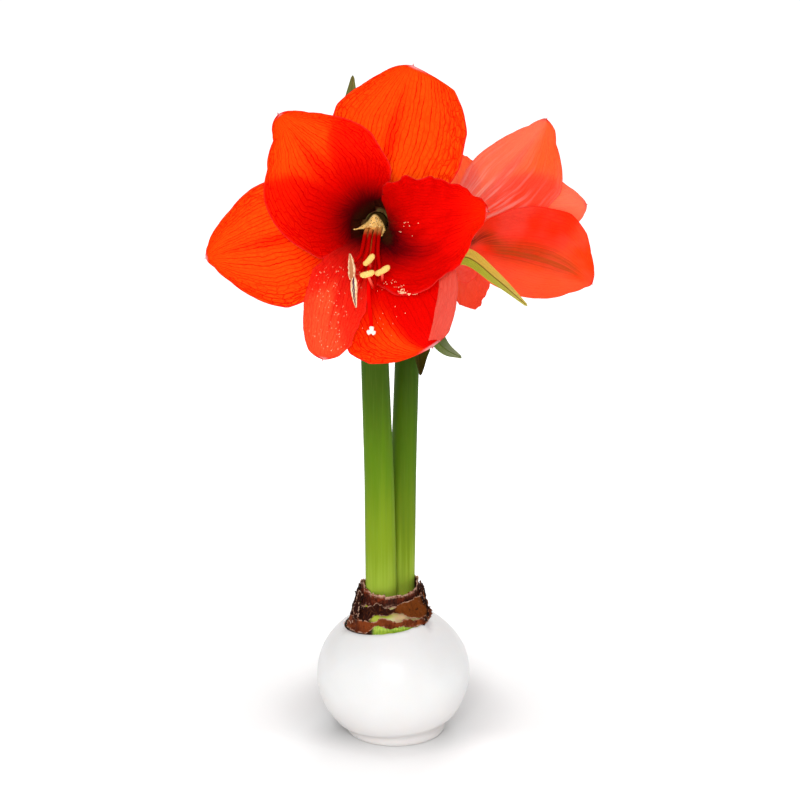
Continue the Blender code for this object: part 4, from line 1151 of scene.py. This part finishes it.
# For each: where its stalk ends, the middle of its mouth, the way it faces, its mirror and droop
FLOWERS = (
    Flower("front", SCAPES["scape_left"][-1][0], (-0.0098, -0.0700, 0.3266),
           (-0.236, -0.951, 0.199), 1, 1.0, FRONT_TEPALS),
    Flower("rear", SCAPES["scape_right"][-1][0], (0.0285, 0.0400, 0.3025),
           (0.637, 0.759, 0.139), -1, 0.75, REAR_TEPALS),
)


def tube_rings(path, radii, sides, lobes=0.0):
    """Rings round a path, without twist; lobes adds three soft ribs."""
    path = np.asarray(path, float)
    tangents = unit(np.gradient(path, axis=0))
    side = unit(np.cross(tangents[0], (0.31, 0.17, 0.93)))
    angle = full_turn(sides)
    rings = []
    for point, tangent, radius in zip(path, tangents, radii):
        side = unit(side - tangent * (side @ tangent))
        other = np.cross(tangent, side)
        reach = (radius * (1 + lobes * np.cos(3 * angle)))[:, None]
        rings.append(point + (np.cos(angle)[:, None] * side + np.sin(angle)[:, None] * other) * reach)
    return np.array(rings)


stalk_green = Finish("ovary_green", 0.38, 0.4)
grain = stalk_green.place.clouds(260.0, 3.0)
stalk_green.set({
    "Base Color": grain.step(0.3, 0.7).tint((0.060, 0.130, 0.016), (0.13, 0.22, 0.03)),
    "Normal": grain.relief(0.3, 0.0004),
})

throat = Finish("perianth_tube_skin", 0.6, 0.05)
leaf = throat.leaf
ribs = (leaf.part(0) * 6.0).maths("SINE")
outer_skin = painted((0.18, 0.20, 0.03), (
    (leaf.part(1).step(0.1, 0.9), (0.55, 0.10, 0.03)),
    (ribs.step(0.2, 1.0) * 0.5, (0.20, 0.09, 0.03)),
    (leaf.part(1).step(0.93, 0.97), (0.085, 0.020, 0.004)),
))
inner_skin = throat.place.clouds(300.0).step(0.3, 0.7).tint((0.16, 0.12, 0.03), (0.10, 0.03, 0.012))
throat.set({
    "Base Color": leaf.part(2).step(-0.5, 0.5).tint(inner_skin, outer_skin),
    "Normal": (ribs + throat.place.clouds(400.0)).relief(0.3, 0.0004),
})

TUBE_SIDES = 72
STALK_RADII = (0.0046, 0.0042, 0.0042, 0.0042, 0.0042, 0.0042, 0.0047)
# Shares of the ovary's length, and its radius there
OVARY_RADII = ((0.1, 0.0058), (0.4, 0.0067), (0.8, 0.0062), (1.0, 0.0050))
# Radius and height along the tube's wall, and its side: 1 outside and -1 inside
TUBE_PROFILE = (
    (0.0050, -TUBE_LENGTH, 1),
    (0.0058, -TUBE_LENGTH + 0.0010, 1),
    (0.0072, -0.4 * TUBE_LENGTH, 1),
    (0.0096, -0.0005, 1),
    (0.0098, 0.0, 1),
    (0.0063, 0.0, -1),
    (0.0056, -0.3 * TUBE_LENGTH, -1),
    (0.0045, -TUBE_LENGTH + 0.0020, -1),
)
for flower in FLOWERS:
    foot = flower.umbel + (0, 0, CLEARANCE)
    ovary = flower.world((0, 0, -TUBE_LENGTH - OVARY_LENGTH))
    end = flower.world((0, 0, -TUBE_LENGTH - CLEARANCE))
    reach = 0.45 * np.linalg.norm(ovary - foot)
    upwards, backwards = foot + (0, 0, reach), ovary - flower.out * reach
    radii = list(STALK_RADII)
    # The pedicel curves up off the stalk and over into the ovary
    line = []
    for k in range(len(radii)):
        t = k / (len(radii) + 1)
        start = (1 - t) ** 3 * foot + 3 * (1 - t) ** 2 * t * upwards
        line.append(start + 3 * (1 - t) * t ** 2 * backwards + t ** 3 * ovary)
    for share, radius in OVARY_RADII:
        line.append(ovary + (end - ovary) * share)
        radii.append(radius)
    fine_line = spline(np.hstack([line, np.array(radii)[:, None]]), 60)
    rings = tube_rings(fine_line[:, :3], fine_line[:, 3], 48, lobes=0.06)
    rings[0, :, 2] = foot[2]
    name = "pedicel_" + flower.name
    place_on_plant(turned(name, rings, stalk_green), name)

    outer = spline([p[:2] for p in TUBE_PROFILE if p[2] > 0], 26)
    inner = spline([p[:2] for p in TUBE_PROFILE if p[2] < 0], 14)
    profile = [(r, z, 1) for r, z in outer] + [(r, z, -1) for r, z in inner]
    angle = full_turn(TUBE_SIDES)
    rings, values = [], []
    for radius, height, side in profile:
        radius = radius * (1 + 0.02 * np.cos(6 * angle) * (side > 0))
        rings.append(flower.world(circle(radius, angle, height)))
        share = 0 * angle + 1 + height / TUBE_LENGTH
        values.append(np.stack([angle, share, 0 * angle + side], axis=1))
    name = "perianth_tube_" + flower.name
    place_on_plant(turned(name, rings, throat, np.array(values)), name)


# Tepals: soft, translucent blades. Light comes through a single one as orange, with a net of
# darker veins, and two that overlap look deep red. The outer face is a paler salmon, the margin
# and the little point at the tip are pink, and the throat is a dark maroon that runs on farther as
# painted shade. Where a blade lies in shade, the light through it is painted a deep red.
def tepal_finish(name, lines=15, throat_end=0.38, face=(1.0, 0.002, 0.0), back=(1.0, 0.12, 0.075),
                 back_left=None, streaks=0.0, fan=0.0, through=(1.0, 0.58, 0.10), share_through=0.50,
                 clear_from=(0.28, 0.62), shaded=None, vein_share=1.0, throat_lean=0.0):
    """A tepal's skin: face and back are its inner and outer colours, through is what shines through.

    lines is the number of main veins on each half and throat_end where the dark throat ends along
    the blade; beyond the throat's own colour that dark is painted shade of the deep funnel.
    throat_lean makes it reach farther along the clockwise half and less far along the other.
    back_left is the outer colour on the anticlockwise half, streaks and fan are how strong whitish
    streaks and brown ribs show there. clear_from is where along the blade the light that comes
    through turns from a painted deep red shade to its through colour, and shaded where across it
    that painted shade comes back.
    """
    petal = Finish(name, 0.5, 0.02)
    nodes, place, leaf = petal.nodes, petal.place, petal.leaf
    across, along, side = leaf.part(0), leaf.part(1), leaf.part(2).step(-0.2, 0.2)
    edge = across.maths("ABSOLUTE")

    # Main veins run from the throat to the tip, and a finer net joins them towards the margin
    flat = nodes.make("CombineXYZ", {}, {0: across * 4.0, 1: along * 9.0, 2: 0.0})
    wobble = (flat.clouds(1.0, 1.0) - 0.5) * 1.1 + (flat.clouds(3.4, 1.0) - 0.5) * 0.55
    between = (across * lines + wobble).maths("PINGPONG", 0.5)
    strength = flat.stretched((1.6, 0.12, 1.0)).clouds(1.6, 2.0).step(0.30, 0.62)
    veins = (1 - between.step(0.02, 0.17)) * (0.35 + 0.65 * strength)
    cells = nodes.make("CombineXYZ", {}, {0: across * lines * 1.25 + wobble, 1: along * 26.0, 2: side})
    net = 1 - cells.cells(1.0, "DISTANCE_TO_EDGE").step(0.0, 0.12)
    veins = veins.maths("MAXIMUM", net * (0.25 + 0.55 * edge.step(0.45, 0.9)))
    veins = veins * along.step(0.10, 0.40) * vein_share
    hair = nodes.make("CombineXYZ", {}, {0: across * 60.0 + wobble, 1: along * 6.0, 2: side * 5.0})
    fine = hair.clouds(1.0, 2.0)
    margin = edge.step(0.965, 1.0) * along.step(0.20, 0.35) + along.step(0.985, 1.0)
    tip = along.step(0.986, 0.999) * (1 - edge.step(0.3, 0.9))
    # Along the midrib the light through the blade is redder: its own red core and a painted shade of the
    # petals behind
    middle = across.near(0.0, 0.16) * (1 - along.step(0.55, 1.0))
    streaky = along + (fine - 0.5) * 0.20 - 0.03 * edge
    if throat_lean:
        streaky = streaky + throat_lean * (across.step(-0.2, 0.8) - across.near(-0.42, 0.42))
    # Painted shade: the dark maroon reaches out to throat_end, past the throat's own colour, as the
    # shade deep in the funnel
    dark = 1 - streaky.step(0.10, throat_end)
    deep = 1 - streaky.step(0.04, 0.16)

    inner_face = painted(face, (
        (veins * 0.6, (0.60, 0.0, 0.0)),
        (fine.step(0.4, 0.8) * 0.3, (0.78, 0.001, 0.0)),
        (dark, (0.09, 0.0, 0.004)),
        (deep * 0.7, (0.060, 0.030, 0.008)),
        (margin * 0.35, (1.0, 0.06, 0.06)),
        (tip, (1.0, 0.55, 0.55)),
    ))
    pale = place.clouds(45.0, 2.0)
    outer_face = painted(back, (
        (veins * 0.30 + fine.step(0.4, 0.8) * 0.25, (0.95, 0.03, 0.015)),
        (pale.step(0.35, 0.7) * 0.35, (1.0, 0.16, 0.12)),
    ))
    if back_left:
        left_half = across.step(-0.15, 0.45) * (0.6 + 0.4 * pale)
        outer_face = left_half.tint(outer_face, back_left)
    whitish = hair.stretched((0.16, 0.30, 1.0)).clouds(1.0, 2.0).step(0.48, 0.66)
    whitish = whitish * (1 - along.step(0.35, 0.85))
    # The ribs fan out from the foot of the outer face
    ribs = hair.stretched((0.40, 0.10, 1.0)).clouds(1.0, 2.0).step(0.36, 0.62)
    fan_line = across + 0.10 + 0.60 * (1 - along.step(0.14, 0.40))
    rib = fan_line.near(0.0, 0.40) * (0.3 + 0.7 * ribs) * (1 - along.step(0.80, 1.02)) * fan
    outer_face = painted(outer_face, (
        (whitish * streaks, (1.0, 0.62, 0.52)),
        (rib, (0.40, 0.09, 0.014)),
        (rib * (1 - along.step(0.18, 0.36)), (0.22, 0.012, 0.010)),
    ))
    petal.set({
        "Base Color": side.tint(outer_face, inner_face),
        "Normal": (fine * 0.5 - veins + 0.5 * place.clouds(1400.0, 2.0)).relief(0.45, 0.0004),
    })

    def shine(colour):
        """Light of one colour that comes through the blade."""
        return nodes.make("BsdfTranslucent", {}, {"Color": (*colour, 1)})

    def layered(share, under, over):
        """The first shader where the share is 0 and the second where it is 1."""
        return nodes.make("MixShader", {}, {0: share, 1: under, 2: over})

    glow = layered(veins * 0.95 + middle * 0.4, shine(through), shine((0.80, 0.01, 0.0)))
    glow = layered(margin * 0.7, glow, shine((0.85, 0.03, 0.03)))
    # Painted shade: short of clear_from, and within shaded, the light through the blade is a deep red
    painted_backlight = along.step(*clear_from)
    if shaded:
        painted_backlight = painted_backlight * (1 - across.step(*shaded))
    glow = layered(painted_backlight, shine((0.70, 0.03, 0.0)), glow)
    glow = layered(dark, glow, shine((0.16, 0.0, 0.008)))
    glow = layered(rib * 0.7, glow, shine((0.50, 0.12, 0.02)))
    surface = layered(share_through, Shade(nodes.tree, petal.shader.outputs[0]), glow)
    nodes.fill(nodes.tree.nodes["Material Output"].inputs["Surface"], surface)
    return petal


def half_width(tepal, share, left):
    """A tepal's half-width in metres; squares are blended, so that the end is round."""
    values = np.array(tepal.left if left else tepal.right, float) / 1000
    return np.sqrt(np.maximum(np.interp(share, STATIONS, values ** 2), 0.0))


def folded(across, height, widths, share, strip):
    """Folds the anticlockwise margin over to the front, round a tight bend."""
    turn = FOLD_TURN * smooth((strip - 0.0003) / 0.0025)
    bend = FOLD_RADIUS * turn
    line = widths - strip - bend
    past = np.maximum(0, across - line)
    angle = np.minimum(past / FOLD_RADIUS, turn)
    beyond = np.maximum(0, past - bend)
    moved = line + FOLD_RADIUS * np.sin(angle) + beyond * np.cos(angle)
    raised = height + FOLD_RADIUS * (1 - np.cos(angle)) + beyond * np.sin(angle)
    return np.where(past > 0, moved, across), np.where(past > 0, raised, height)


REAR_LOOK = {
    "throat_end": 0.14, "clear_from": (-0.2, 0.0), "vein_share": 0.35, "through": (1.0, 0.50, 0.14),
}
# throat_end, throat_lean, clear_from and shaded set where painted shade falls; the right tepal's redder
# through light is a painted shade of the petals behind it
TEPAL_LOOKS = {
    "front_top": {"clear_from": (0.20, 0.48)},
    "front_upper_left": {"throat_end": 0.42, "clear_from": (0.35, 0.75)},
    "front_left": {"throat_end": 0.36},
    "front_lower_left": {
        "lines": 9, "face": (1.0, 0.016, 0.010), "through": (1.0, 0.58, 0.30),
        "clear_from": (0.20, 0.65), "vein_share": 0.5,
    },
    "front_lower_right": {
        "throat_end": 0.44, "back": (1.0, 0.14, 0.09), "through": (1.0, 0.55, 0.10),
        "clear_from": (0.54, 0.88), "shaded": (-0.42, -0.14),
    },
    "front_right": {
        "throat_end": 0.56, "throat_lean": 0.26, "through": (1.0, 0.26, 0.02),
        "clear_from": (0.76, 1.0),
    },
    "rear_upper": {
        **REAR_LOOK, "back": (1.0, 0.21, 0.155), "back_left": (1.0, 0.055, 0.012), "streaks": 0.6,
    },
    "rear_near": {**REAR_LOOK, "back": (1.0, 0.20, 0.15)},
    "rear_lower": {
        **REAR_LOOK, "back": (0.95, 0.035, 0.006), "back_left": (1.0, 0.12, 0.05), "fan": 0.85,
        "through": (1.0, 0.34, 0.06),
    },
    "rear_bottom": {**REAR_LOOK, "back": (0.90, 0.055, 0.03), "through": (0.9, 0.30, 0.10)},
    "rear_far": {**REAR_LOOK, "back": (1.0, 0.07, 0.03)},
    "rear_far_upper": {**REAR_LOOK, "back": (1.0, 0.10, 0.05)},
}
TEPAL_ROWS = 96
TEPAL_COLUMNS = 85
MIDRIB_HEIGHT = 0.0005
FRAY_DEPTH = 0.0005
GROOVE_DEPTH = 0.00005


def build_tepal(flower, tepal, finish, seed):
    """The tepal's mid-surface on a fine grid, closed as a thin blade that thins to its margin."""
    start = CLEARANCE + (BLADE_THICKNESS / 2 - tepal.forward * LAYER) * math.sin(MOUTH_ANGLE)
    # Rows lie closer together towards the tip, and columns towards the margins
    shares = 1 - (1 - np.linspace(0, 0.9985, TEPAL_ROWS)) ** 1.5
    shares = shares + start / tepal.length * (1 - shares)
    steps = np.sin(np.linspace(-0.5, 0.5, TEPAL_COLUMNS) * 2.6) / math.sin(1.3)
    share = np.repeat(shares, len(steps))
    t = np.tile(steps, len(shares))
    along = share * tepal.length
    widths = np.where(t >= 0, half_width(tepal, share, True), half_width(tepal, share, False))
    edge_place = np.stack([share * tepal.length, np.sign(t) * 0.02, 0 * t], axis=1)
    scallop = ripple(edge_place, 0.009, seed) * 0.6 + ripple(edge_place, 0.0035, seed + 1) * 0.4
    free = smooth(share / 0.4) * smooth((1 - share) / 0.08)
    widths = widths + FRAY_DEPTH * tepal.frill * scallop * free * np.abs(t)
    across = t * widths
    wave = np.sin(2 * math.pi * tepal.waves * share + np.where(t >= 0, 0.0, 1.9) + tepal.azimuth)
    margin = np.abs(t) ** 3 * smooth((share - 0.35) / 0.4)
    rib = np.exp(-(across / 0.003) ** 2) * smooth(share / 0.2)
    height = tepal.forward * (LAYER + tepal.ruffle * (1 + wave) * margin) - MIDRIB_HEIGHT * rib
    height = height + tepal.lift * smooth(along / 0.020)
    flat_place = np.stack([along, across * 2.2, 0 * t], axis=1)
    crinkle = ripple(flat_place, 0.016, seed + 2) * 0.00022
    crinkle = crinkle + ripple(flat_place, 0.007, seed + 3) * 0.00008
    frill = ripple(edge_place, 0.008, seed + 4) * 0.0006 * tepal.frill * np.abs(t) ** 9
    grooves = GROOVE_DEPTH * np.cos(t * 46)
    height = height + smooth((share - 0.15) / 0.3) * (crinkle * tepal.crumple + frill + grooves)
    if tepal.fold:
        strip = np.interp(share, STATIONS, np.array(tepal.fold, float) / 1000)
        across, height = folded(across, height, widths, share, strip)
    points, towards = flower.blade(tepal, along, across, height)
    end = np.array([tepal.length + MUCRO])
    tip, _ = flower.blade(tepal, end, np.zeros(1), np.array([tepal.forward * LAYER + tepal.lift]))
    size = (TEPAL_ROWS, TEPAL_COLUMNS)
    points, towards = points.reshape(*size, 3), towards.reshape(*size, 3)
    normals = flower.aimed(grid_normals(points, towards))
    thickness = 0.5 * BLADE_THICKNESS * (1 - 0.65 * np.abs(t.reshape(size)) ** 6)
    leaf = np.stack([t.reshape(size), share.reshape(size)], axis=-1)
    name = f"tepal_{flower.name}_{tepal.name}"
    piece = sheet(name, flower.world(points), normals, thickness, finish, leaf, tip=flower.world(tip))
    place_on_plant(piece, name)


for flower in FLOWERS:
    for number, tepal in enumerate(flower.tepals):
        look = f"{flower.name}_{tepal.name}"
        finish = tepal_finish(f"tepal_{look}_skin", **TEPAL_LOOKS[look])
        build_tepal(flower, tepal, finish, 100 + 10 * number + (100 if flower.name == "rear" else 0))


# Corona: a fringe of cream scales, speckled with dark dots, that arches over the stamens where
# they come out of the throat. Its foot in the throat is painted dark as shade, and the cream glows
# a little as painted light.
corona_cream = Finish("corona_cream", 0.6, 0.02)
place, leaf = corona_cream.place, corona_cream.leaf
cream = painted((0.90, 0.56, 0.16), (
    (place.clouds(500.0).step(0.45, 0.7), (0.95, 0.70, 0.30)),
    (1 - place.cells(800.0).step(0.18, 0.38), (0.10, 0.06, 0.02)),
))
upper = leaf.part(2).step(-0.2, 0.2)
# Painted shade: the foot of the fringe, deep in the throat, is dark, farther out on its upper face
out_of_painted_shade = upper * leaf.part(1).step(0.50, 0.66) + (1 - upper) * leaf.part(1).step(0.25, 0.60)
cream = out_of_painted_shade.tint((0.055, 0.030, 0.006), cream)
corona_cream.set({
    "Base Color": cream,
    # Painted light: the cream glows a little
    "Emission Color": cream,
    "Emission Strength": 0.20,
    "Normal": place.clouds(1500.0, 3.0).relief(0.6, 0.0004),
})
CORONA_FOOT = 0.0053
for flower in FLOWERS:
    rows, columns = 22, 61
    # The fringe's crest and its hem, from left to right
    arch = spline(((-8.0, -4.6), (-3.2, -0.6), (1.6, 3.6), (5.6, -1.2), (8.8, -7.6)), columns) / 1000
    hem = spline(((-8.2, -5.2), (-3.4, -4.2), (1.2, -3.8), (5.4, -5.4), (8.8, -8.8)), columns) / 1000
    share = np.linspace(0, 1, rows)[:, None]
    t = np.linspace(0, 1, columns)[None]
    angle = np.radians(196 - 212 * t)
    # Each row widens from the round foot in the throat to the arch, and then drops to the hem
    opened = np.minimum(1, share / 0.62) ** 1.3
    dropped = smooth((share - 0.55) / 0.45)
    x, y = (
        start * (1 - opened) + (arch[:, k] * (1 - dropped) + hem[:, k] * dropped) * opened
        for k, start in enumerate((CORONA_FOOT * np.cos(angle), CORONA_FOOT * np.sin(angle)))
    )
    lobe = 0.5 + 0.5 * np.cos(4 * math.pi * t)
    fringe = np.array([random.Random(k).uniform(-0.0007, 0.0007) for k in range(columns)])
    out = 0.0008 + (0.0130 + 0.0045 * lobe) * share + fringe * share ** 6
    grid = np.stack([flower.mirror * x, y, out], axis=-1)
    normals = flower.aimed(grid_normals(grid, (0, 1, 0.2)))
    grid = flower.world(grid)
    leaf_values = np.stack(np.broadcast_arrays(2 * t - 1, share), axis=-1)
    name = "corona_" + flower.name
    half = 0.5 * BLADE_THICKNESS * (1 - 0.5 * share)
    tip = grid[-1, columns // 2] + flower.out * 0.0008
    place_on_plant(sheet(name, grid, normals, half, corona_cream, leaf_values, tip=tip), name)


# Stamens and style: six red filaments rise as a bundle under the corona and bend up to cream
# anthers. Two anthers are empty husks with a dark seam. The style ends in a white stigma of
# three lobes, lower than the anthers.
FILAMENT_RADIUS = 0.00115
STYLE_RADIUS = 0.0010
STRAND_START = -17.6
FEET_RADIUS = 3.1
DROOP_FROM = 20.0
BUNDLE = ((2.7, -6.8, 17.0), (7.0, -19.8, 38.0))
# In the flower's own millimetres: the angle of the foot in degrees, the place in the bundle, a
# bend beyond it, and the anther's middle, direction, length and half-width
STAMENS = (
    (167, (-3.9, 1.3), (0.2, -23.5, 41.5), (-1.6, -25.6, 43.5), (0.0, 1.0, 0.1), 9, 1.4),
    (116, (-1.3, 1.5), (4.4, -27.6, 46.5), (0.3, -26.8, 50.5), (-0.1, 1.0, 0.1), 14, 2.0),
    (64, (1.3, 1.5), (10.4, -26.4, 47.0), (10.5, -22.9, 53.0), (0.69, 0.72, 0.1), 8, 1.6),
    (321, (2.5, -1.1), (14.1, -36.8, 53.0), (11.4, -30.3, 58.5), (0.96, 0.28, 0.0), 8, 1.6),
    (13, (3.6, 1.0), (17.5, -33.1, 51.5), (18.3, -28.1, 54.5), (0.86, 0.51, 0.0), 9, 1.6),
    (219, (-2.5, -1.1), (5.2, -33.0, 47.0), (4.5, -40.0, 55.0), (0.12, -0.99, 0.0), 16, 1.8),
)
STRAND_STEPS = 64
STYLE_STEPS = 80
ROD_STEPS = 28
LOBE_LENGTH = 0.0030
LOBE_RADIUS = 0.0011
STYLE = ((0.0, -1.6), ((11.2, -40.0, 53.0), (15.2, -54.0, 61.0), (16.8, -59.6, 65.0)))

filament_red = Finish("filament_red", 0.6, 0.02)
along = filament_red.leaf.part(1)
filament_red.set({"Base Color": painted((0.80, 0.48, 0.12), (
    (along.step(0.36, 0.47), (0.50, 0.001, 0.0)),
    (along.step(0.84, 1.0), (1.0, 0.16, 0.09)),
))})

style_red = Finish("style_red", 0.6, 0.02)
along = style_red.leaf.part(1)
style_red.set({"Base Color": painted((0.62, 0.34, 0.06), (
    (along.step(0.34, 0.50), (0.85, 0.001, 0.0)),
    (along.step(0.96, 1.0), (1.0, 0.35, 0.28)),
))})

anther_full = Finish("anther_pollen", 0.85, 0.1)
grains = anther_full.place.cells(2600.0)
anther_full.set({
    "Base Color": grains.step(0.1, 0.6).tint((0.96, 0.74, 0.26), (0.80, 0.50, 0.12)),
    "Normal": (1 - grains).relief(0.8, 0.0003),
})


def husk_finish(name, seam_colour, seam_width):
    """The dry skin of an anther that has shed its pollen, with its seam."""
    husk = Finish(name, 0.6, 0.2)
    dry = husk.place.clouds(700.0, 3.0).step(0.35, 0.65).tint((0.90, 0.72, 0.45), (0.66, 0.40, 0.20))
    seam = husk.leaf.part(0) + (husk.place.clouds(500.0) - 0.5) * 0.25
    husk.set({"Base Color": seam.near(0.12, seam_width).step(0.05, 0.55).tint(dry, seam_colour)})
    return husk


# The two empty anthers, by their place in STAMENS
HUSKS = {
    1: husk_finish("anther_brown", (0.42, 0.16, 0.06), 0.34),
    5: husk_finish("anther_purple", (0.075, 0.006, 0.040), 0.17),
}

stigma_white = Finish("stigma_white", 0.5, 0.3)
frosted = stigma_white.place.clouds(1800.0, 2.0)
stigma_white.set({
    "Base Color": frosted.step(0.3, 0.7).tint((0.92, 0.84, 0.76), (0.86, 0.66, 0.58)),
    "Normal": frosted.relief(0.7, 0.0003),
})


def strand(angle, offset, beyond, flower):
    """Points of a filament or style from the tube's floor, through the bundle, to its end."""
    angle = math.radians(angle)
    x, y = FEET_RADIUS * math.cos(angle), FEET_RADIUS * math.sin(angle)
    points = [(x, y, STRAND_START), (x, y, STRAND_START / 3)]
    for (centre_x, centre_y, z), spread in zip(BUNDLE, (1.0, 1.2)):
        points.append((centre_x + spread * offset[0], centre_y + spread * offset[1], z))
    points = np.array(points + list(beyond))
    points[:, 0] *= flower.mirror
    points[points[:, 2] > DROOP_FROM, 1] *= flower.droop
    return points / 1000


def strand_piece(name, flower, path, radii, finish):
    """A filament or style: a thin round strand along a path in the flower's frame."""
    rings = tube_rings(path, radii, 14)
    along = np.broadcast_to(np.linspace(0, 1, len(path))[:, None], rings.shape[:2])
    values = np.stack([0 * along, along, 0 * along], axis=-1)
    return turned(name, flower.world(rings), finish, values)


def lobed_rod(flower, centre, direction, length, radius, finish, taper, groove, seed):
    """An anther or a lobe of the stigma: a rod whose groove faces the front of the flower."""
    direction = unit(direction)
    share = np.linspace(-0.5, 0.5, ROD_STEPS + 1)
    front = unit(np.array((0.0, 0.0, 1.0)) - direction * direction[2])
    side = np.cross(direction, front)
    bow = 0.03 * length * (1 - (2 * share) ** 2)
    path = np.asarray(centre) + direction * (length * share)[:, None] + side * bow[:, None]
    swell = np.sqrt(np.maximum(0, 1 - np.abs(2 * share) ** 4)) * 0.92 + 0.08
    swell = swell * (1 - taper * smooth((share + 0.1) / 0.6))
    angle = full_turn(ROD_STEPS)
    dent = 1 - groove * np.exp(-(np.sin(angle / 2) / 0.30) ** 2)
    ring = np.cos(angle)[:, None] * front * 0.8 + np.sin(angle)[:, None] * side
    middle = path[:, None]
    rings = middle + ring[None] * (radius * swell[:, None] * dent[None])[..., None]
    rings = rings + (rings - middle) * (0.08 * ripple(rings, 0.0024, seed))[..., None]
    values = np.stack(np.broadcast_arrays(np.sin(angle / 2)[None], share[:, None], 0.0), axis=-1)
    return turned("rod", flower.world(rings), finish, values)


for flower in FLOWERS:
    for number, (angle, offset, bend, centre, direction, length, width) in enumerate(STAMENS):
        name = f"stamen_{flower.name}_{number + 1}"
        points = strand(angle, offset, (bend, centre), flower)
        path = spline(points, STRAND_STEPS)
        thinned = np.interp(np.linspace(0, 1, STRAND_STEPS), (0, 0.6, 1), (1.0, 0.9, 0.5))
        filament = strand_piece(name, flower, path, FILAMENT_RADIUS * thinned, filament_red)
        direction = (flower.mirror * direction[0], direction[1], direction[2])
        husk = HUSKS.get(number)
        anther = lobed_rod(
            flower, points[-1], direction, length / 1000, width / 1000, husk or anther_full,
            0.55 if husk else 0.0, 0.35 if husk else 0.08, number,
        )
        place_on_plant(joined([filament, anther], name), name)

    name = "pistil_" + flower.name
    path = spline(strand(270, *STYLE, flower), STYLE_STEPS)
    style = strand_piece(name, flower, path, [STYLE_RADIUS] * STYLE_STEPS, style_red)
    lobes = []
    for k in range(3):
        turn = math.radians(90 + 120 * k)
        direction = unit((math.cos(turn), math.sin(turn), 0.25))
        centre = path[-1] + direction * LOBE_LENGTH / 3
        lobes.append(lobed_rod(
            flower, centre, direction, LOBE_LENGTH, LOBE_RADIUS, stigma_white, -0.3, 0.1, 70 + k,
        ))
    place_on_plant(joined([style] + lobes, name), name)


# Pollen: cream grains that have dropped from the anthers of the front flower. They cling to the
# inner faces of its lower petals, most of them on the narrow one straight below the stamens.
pollen = Finish("pollen_cream", 0.8, 0.2)
pollen.set({"Base Color": (1.0, 0.66, 0.38, 1)})
# Under the stamens: a petal, the grains on it, where they lie along and across it, and their size
FALLS = (
    ("lower_left", 150, (0.45, 0.95), (-0.85, 0.80), 0.00017),
    ("lower_right", 30, (0.50, 0.85), (-0.7, 0.1), 0.00016),
    ("right", 24, (0.58, 0.66), (-0.98, -0.84), 0.00018),
    ("right", 60, (0.64, 0.70), (-1.0, -0.93), 0.00026),
    ("right", 9, (0.40, 0.58), (-0.30, 0.1), 0.00020),
)
draw = random.Random(21)
front_flower = FLOWERS[0]
grains = []
for petal, count, lengths, sides, size in FALLS:
    tepal = next(t for t in front_flower.tepals if t.name == petal)
    for _ in range(count):
        share, t = draw.uniform(*lengths), draw.uniform(*sides)
        spot = np.array([share])
        across = t * half_width(tepal, spot, t >= 0)
        height = tepal.forward * LAYER + tepal.lift + BLADE_THICKNESS / 2 + CLEARANCE
        place, _ = front_flower.blade(tepal, spot * tepal.length, across, np.array([height]))
        grain = size * draw.uniform(0.6, 1.5)
        ring = circle(grain, full_turn(6))
        stack = np.stack([ring * 0.5 - (0, 0, 0.7 * grain), ring, ring * 0.5 + (0, 0, 0.7 * grain)])
        grains.append(turned("grain", front_flower.world(stack + place[0]), pollen))
specks = joined(grains, "pollen_specks")
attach(specks, "root")
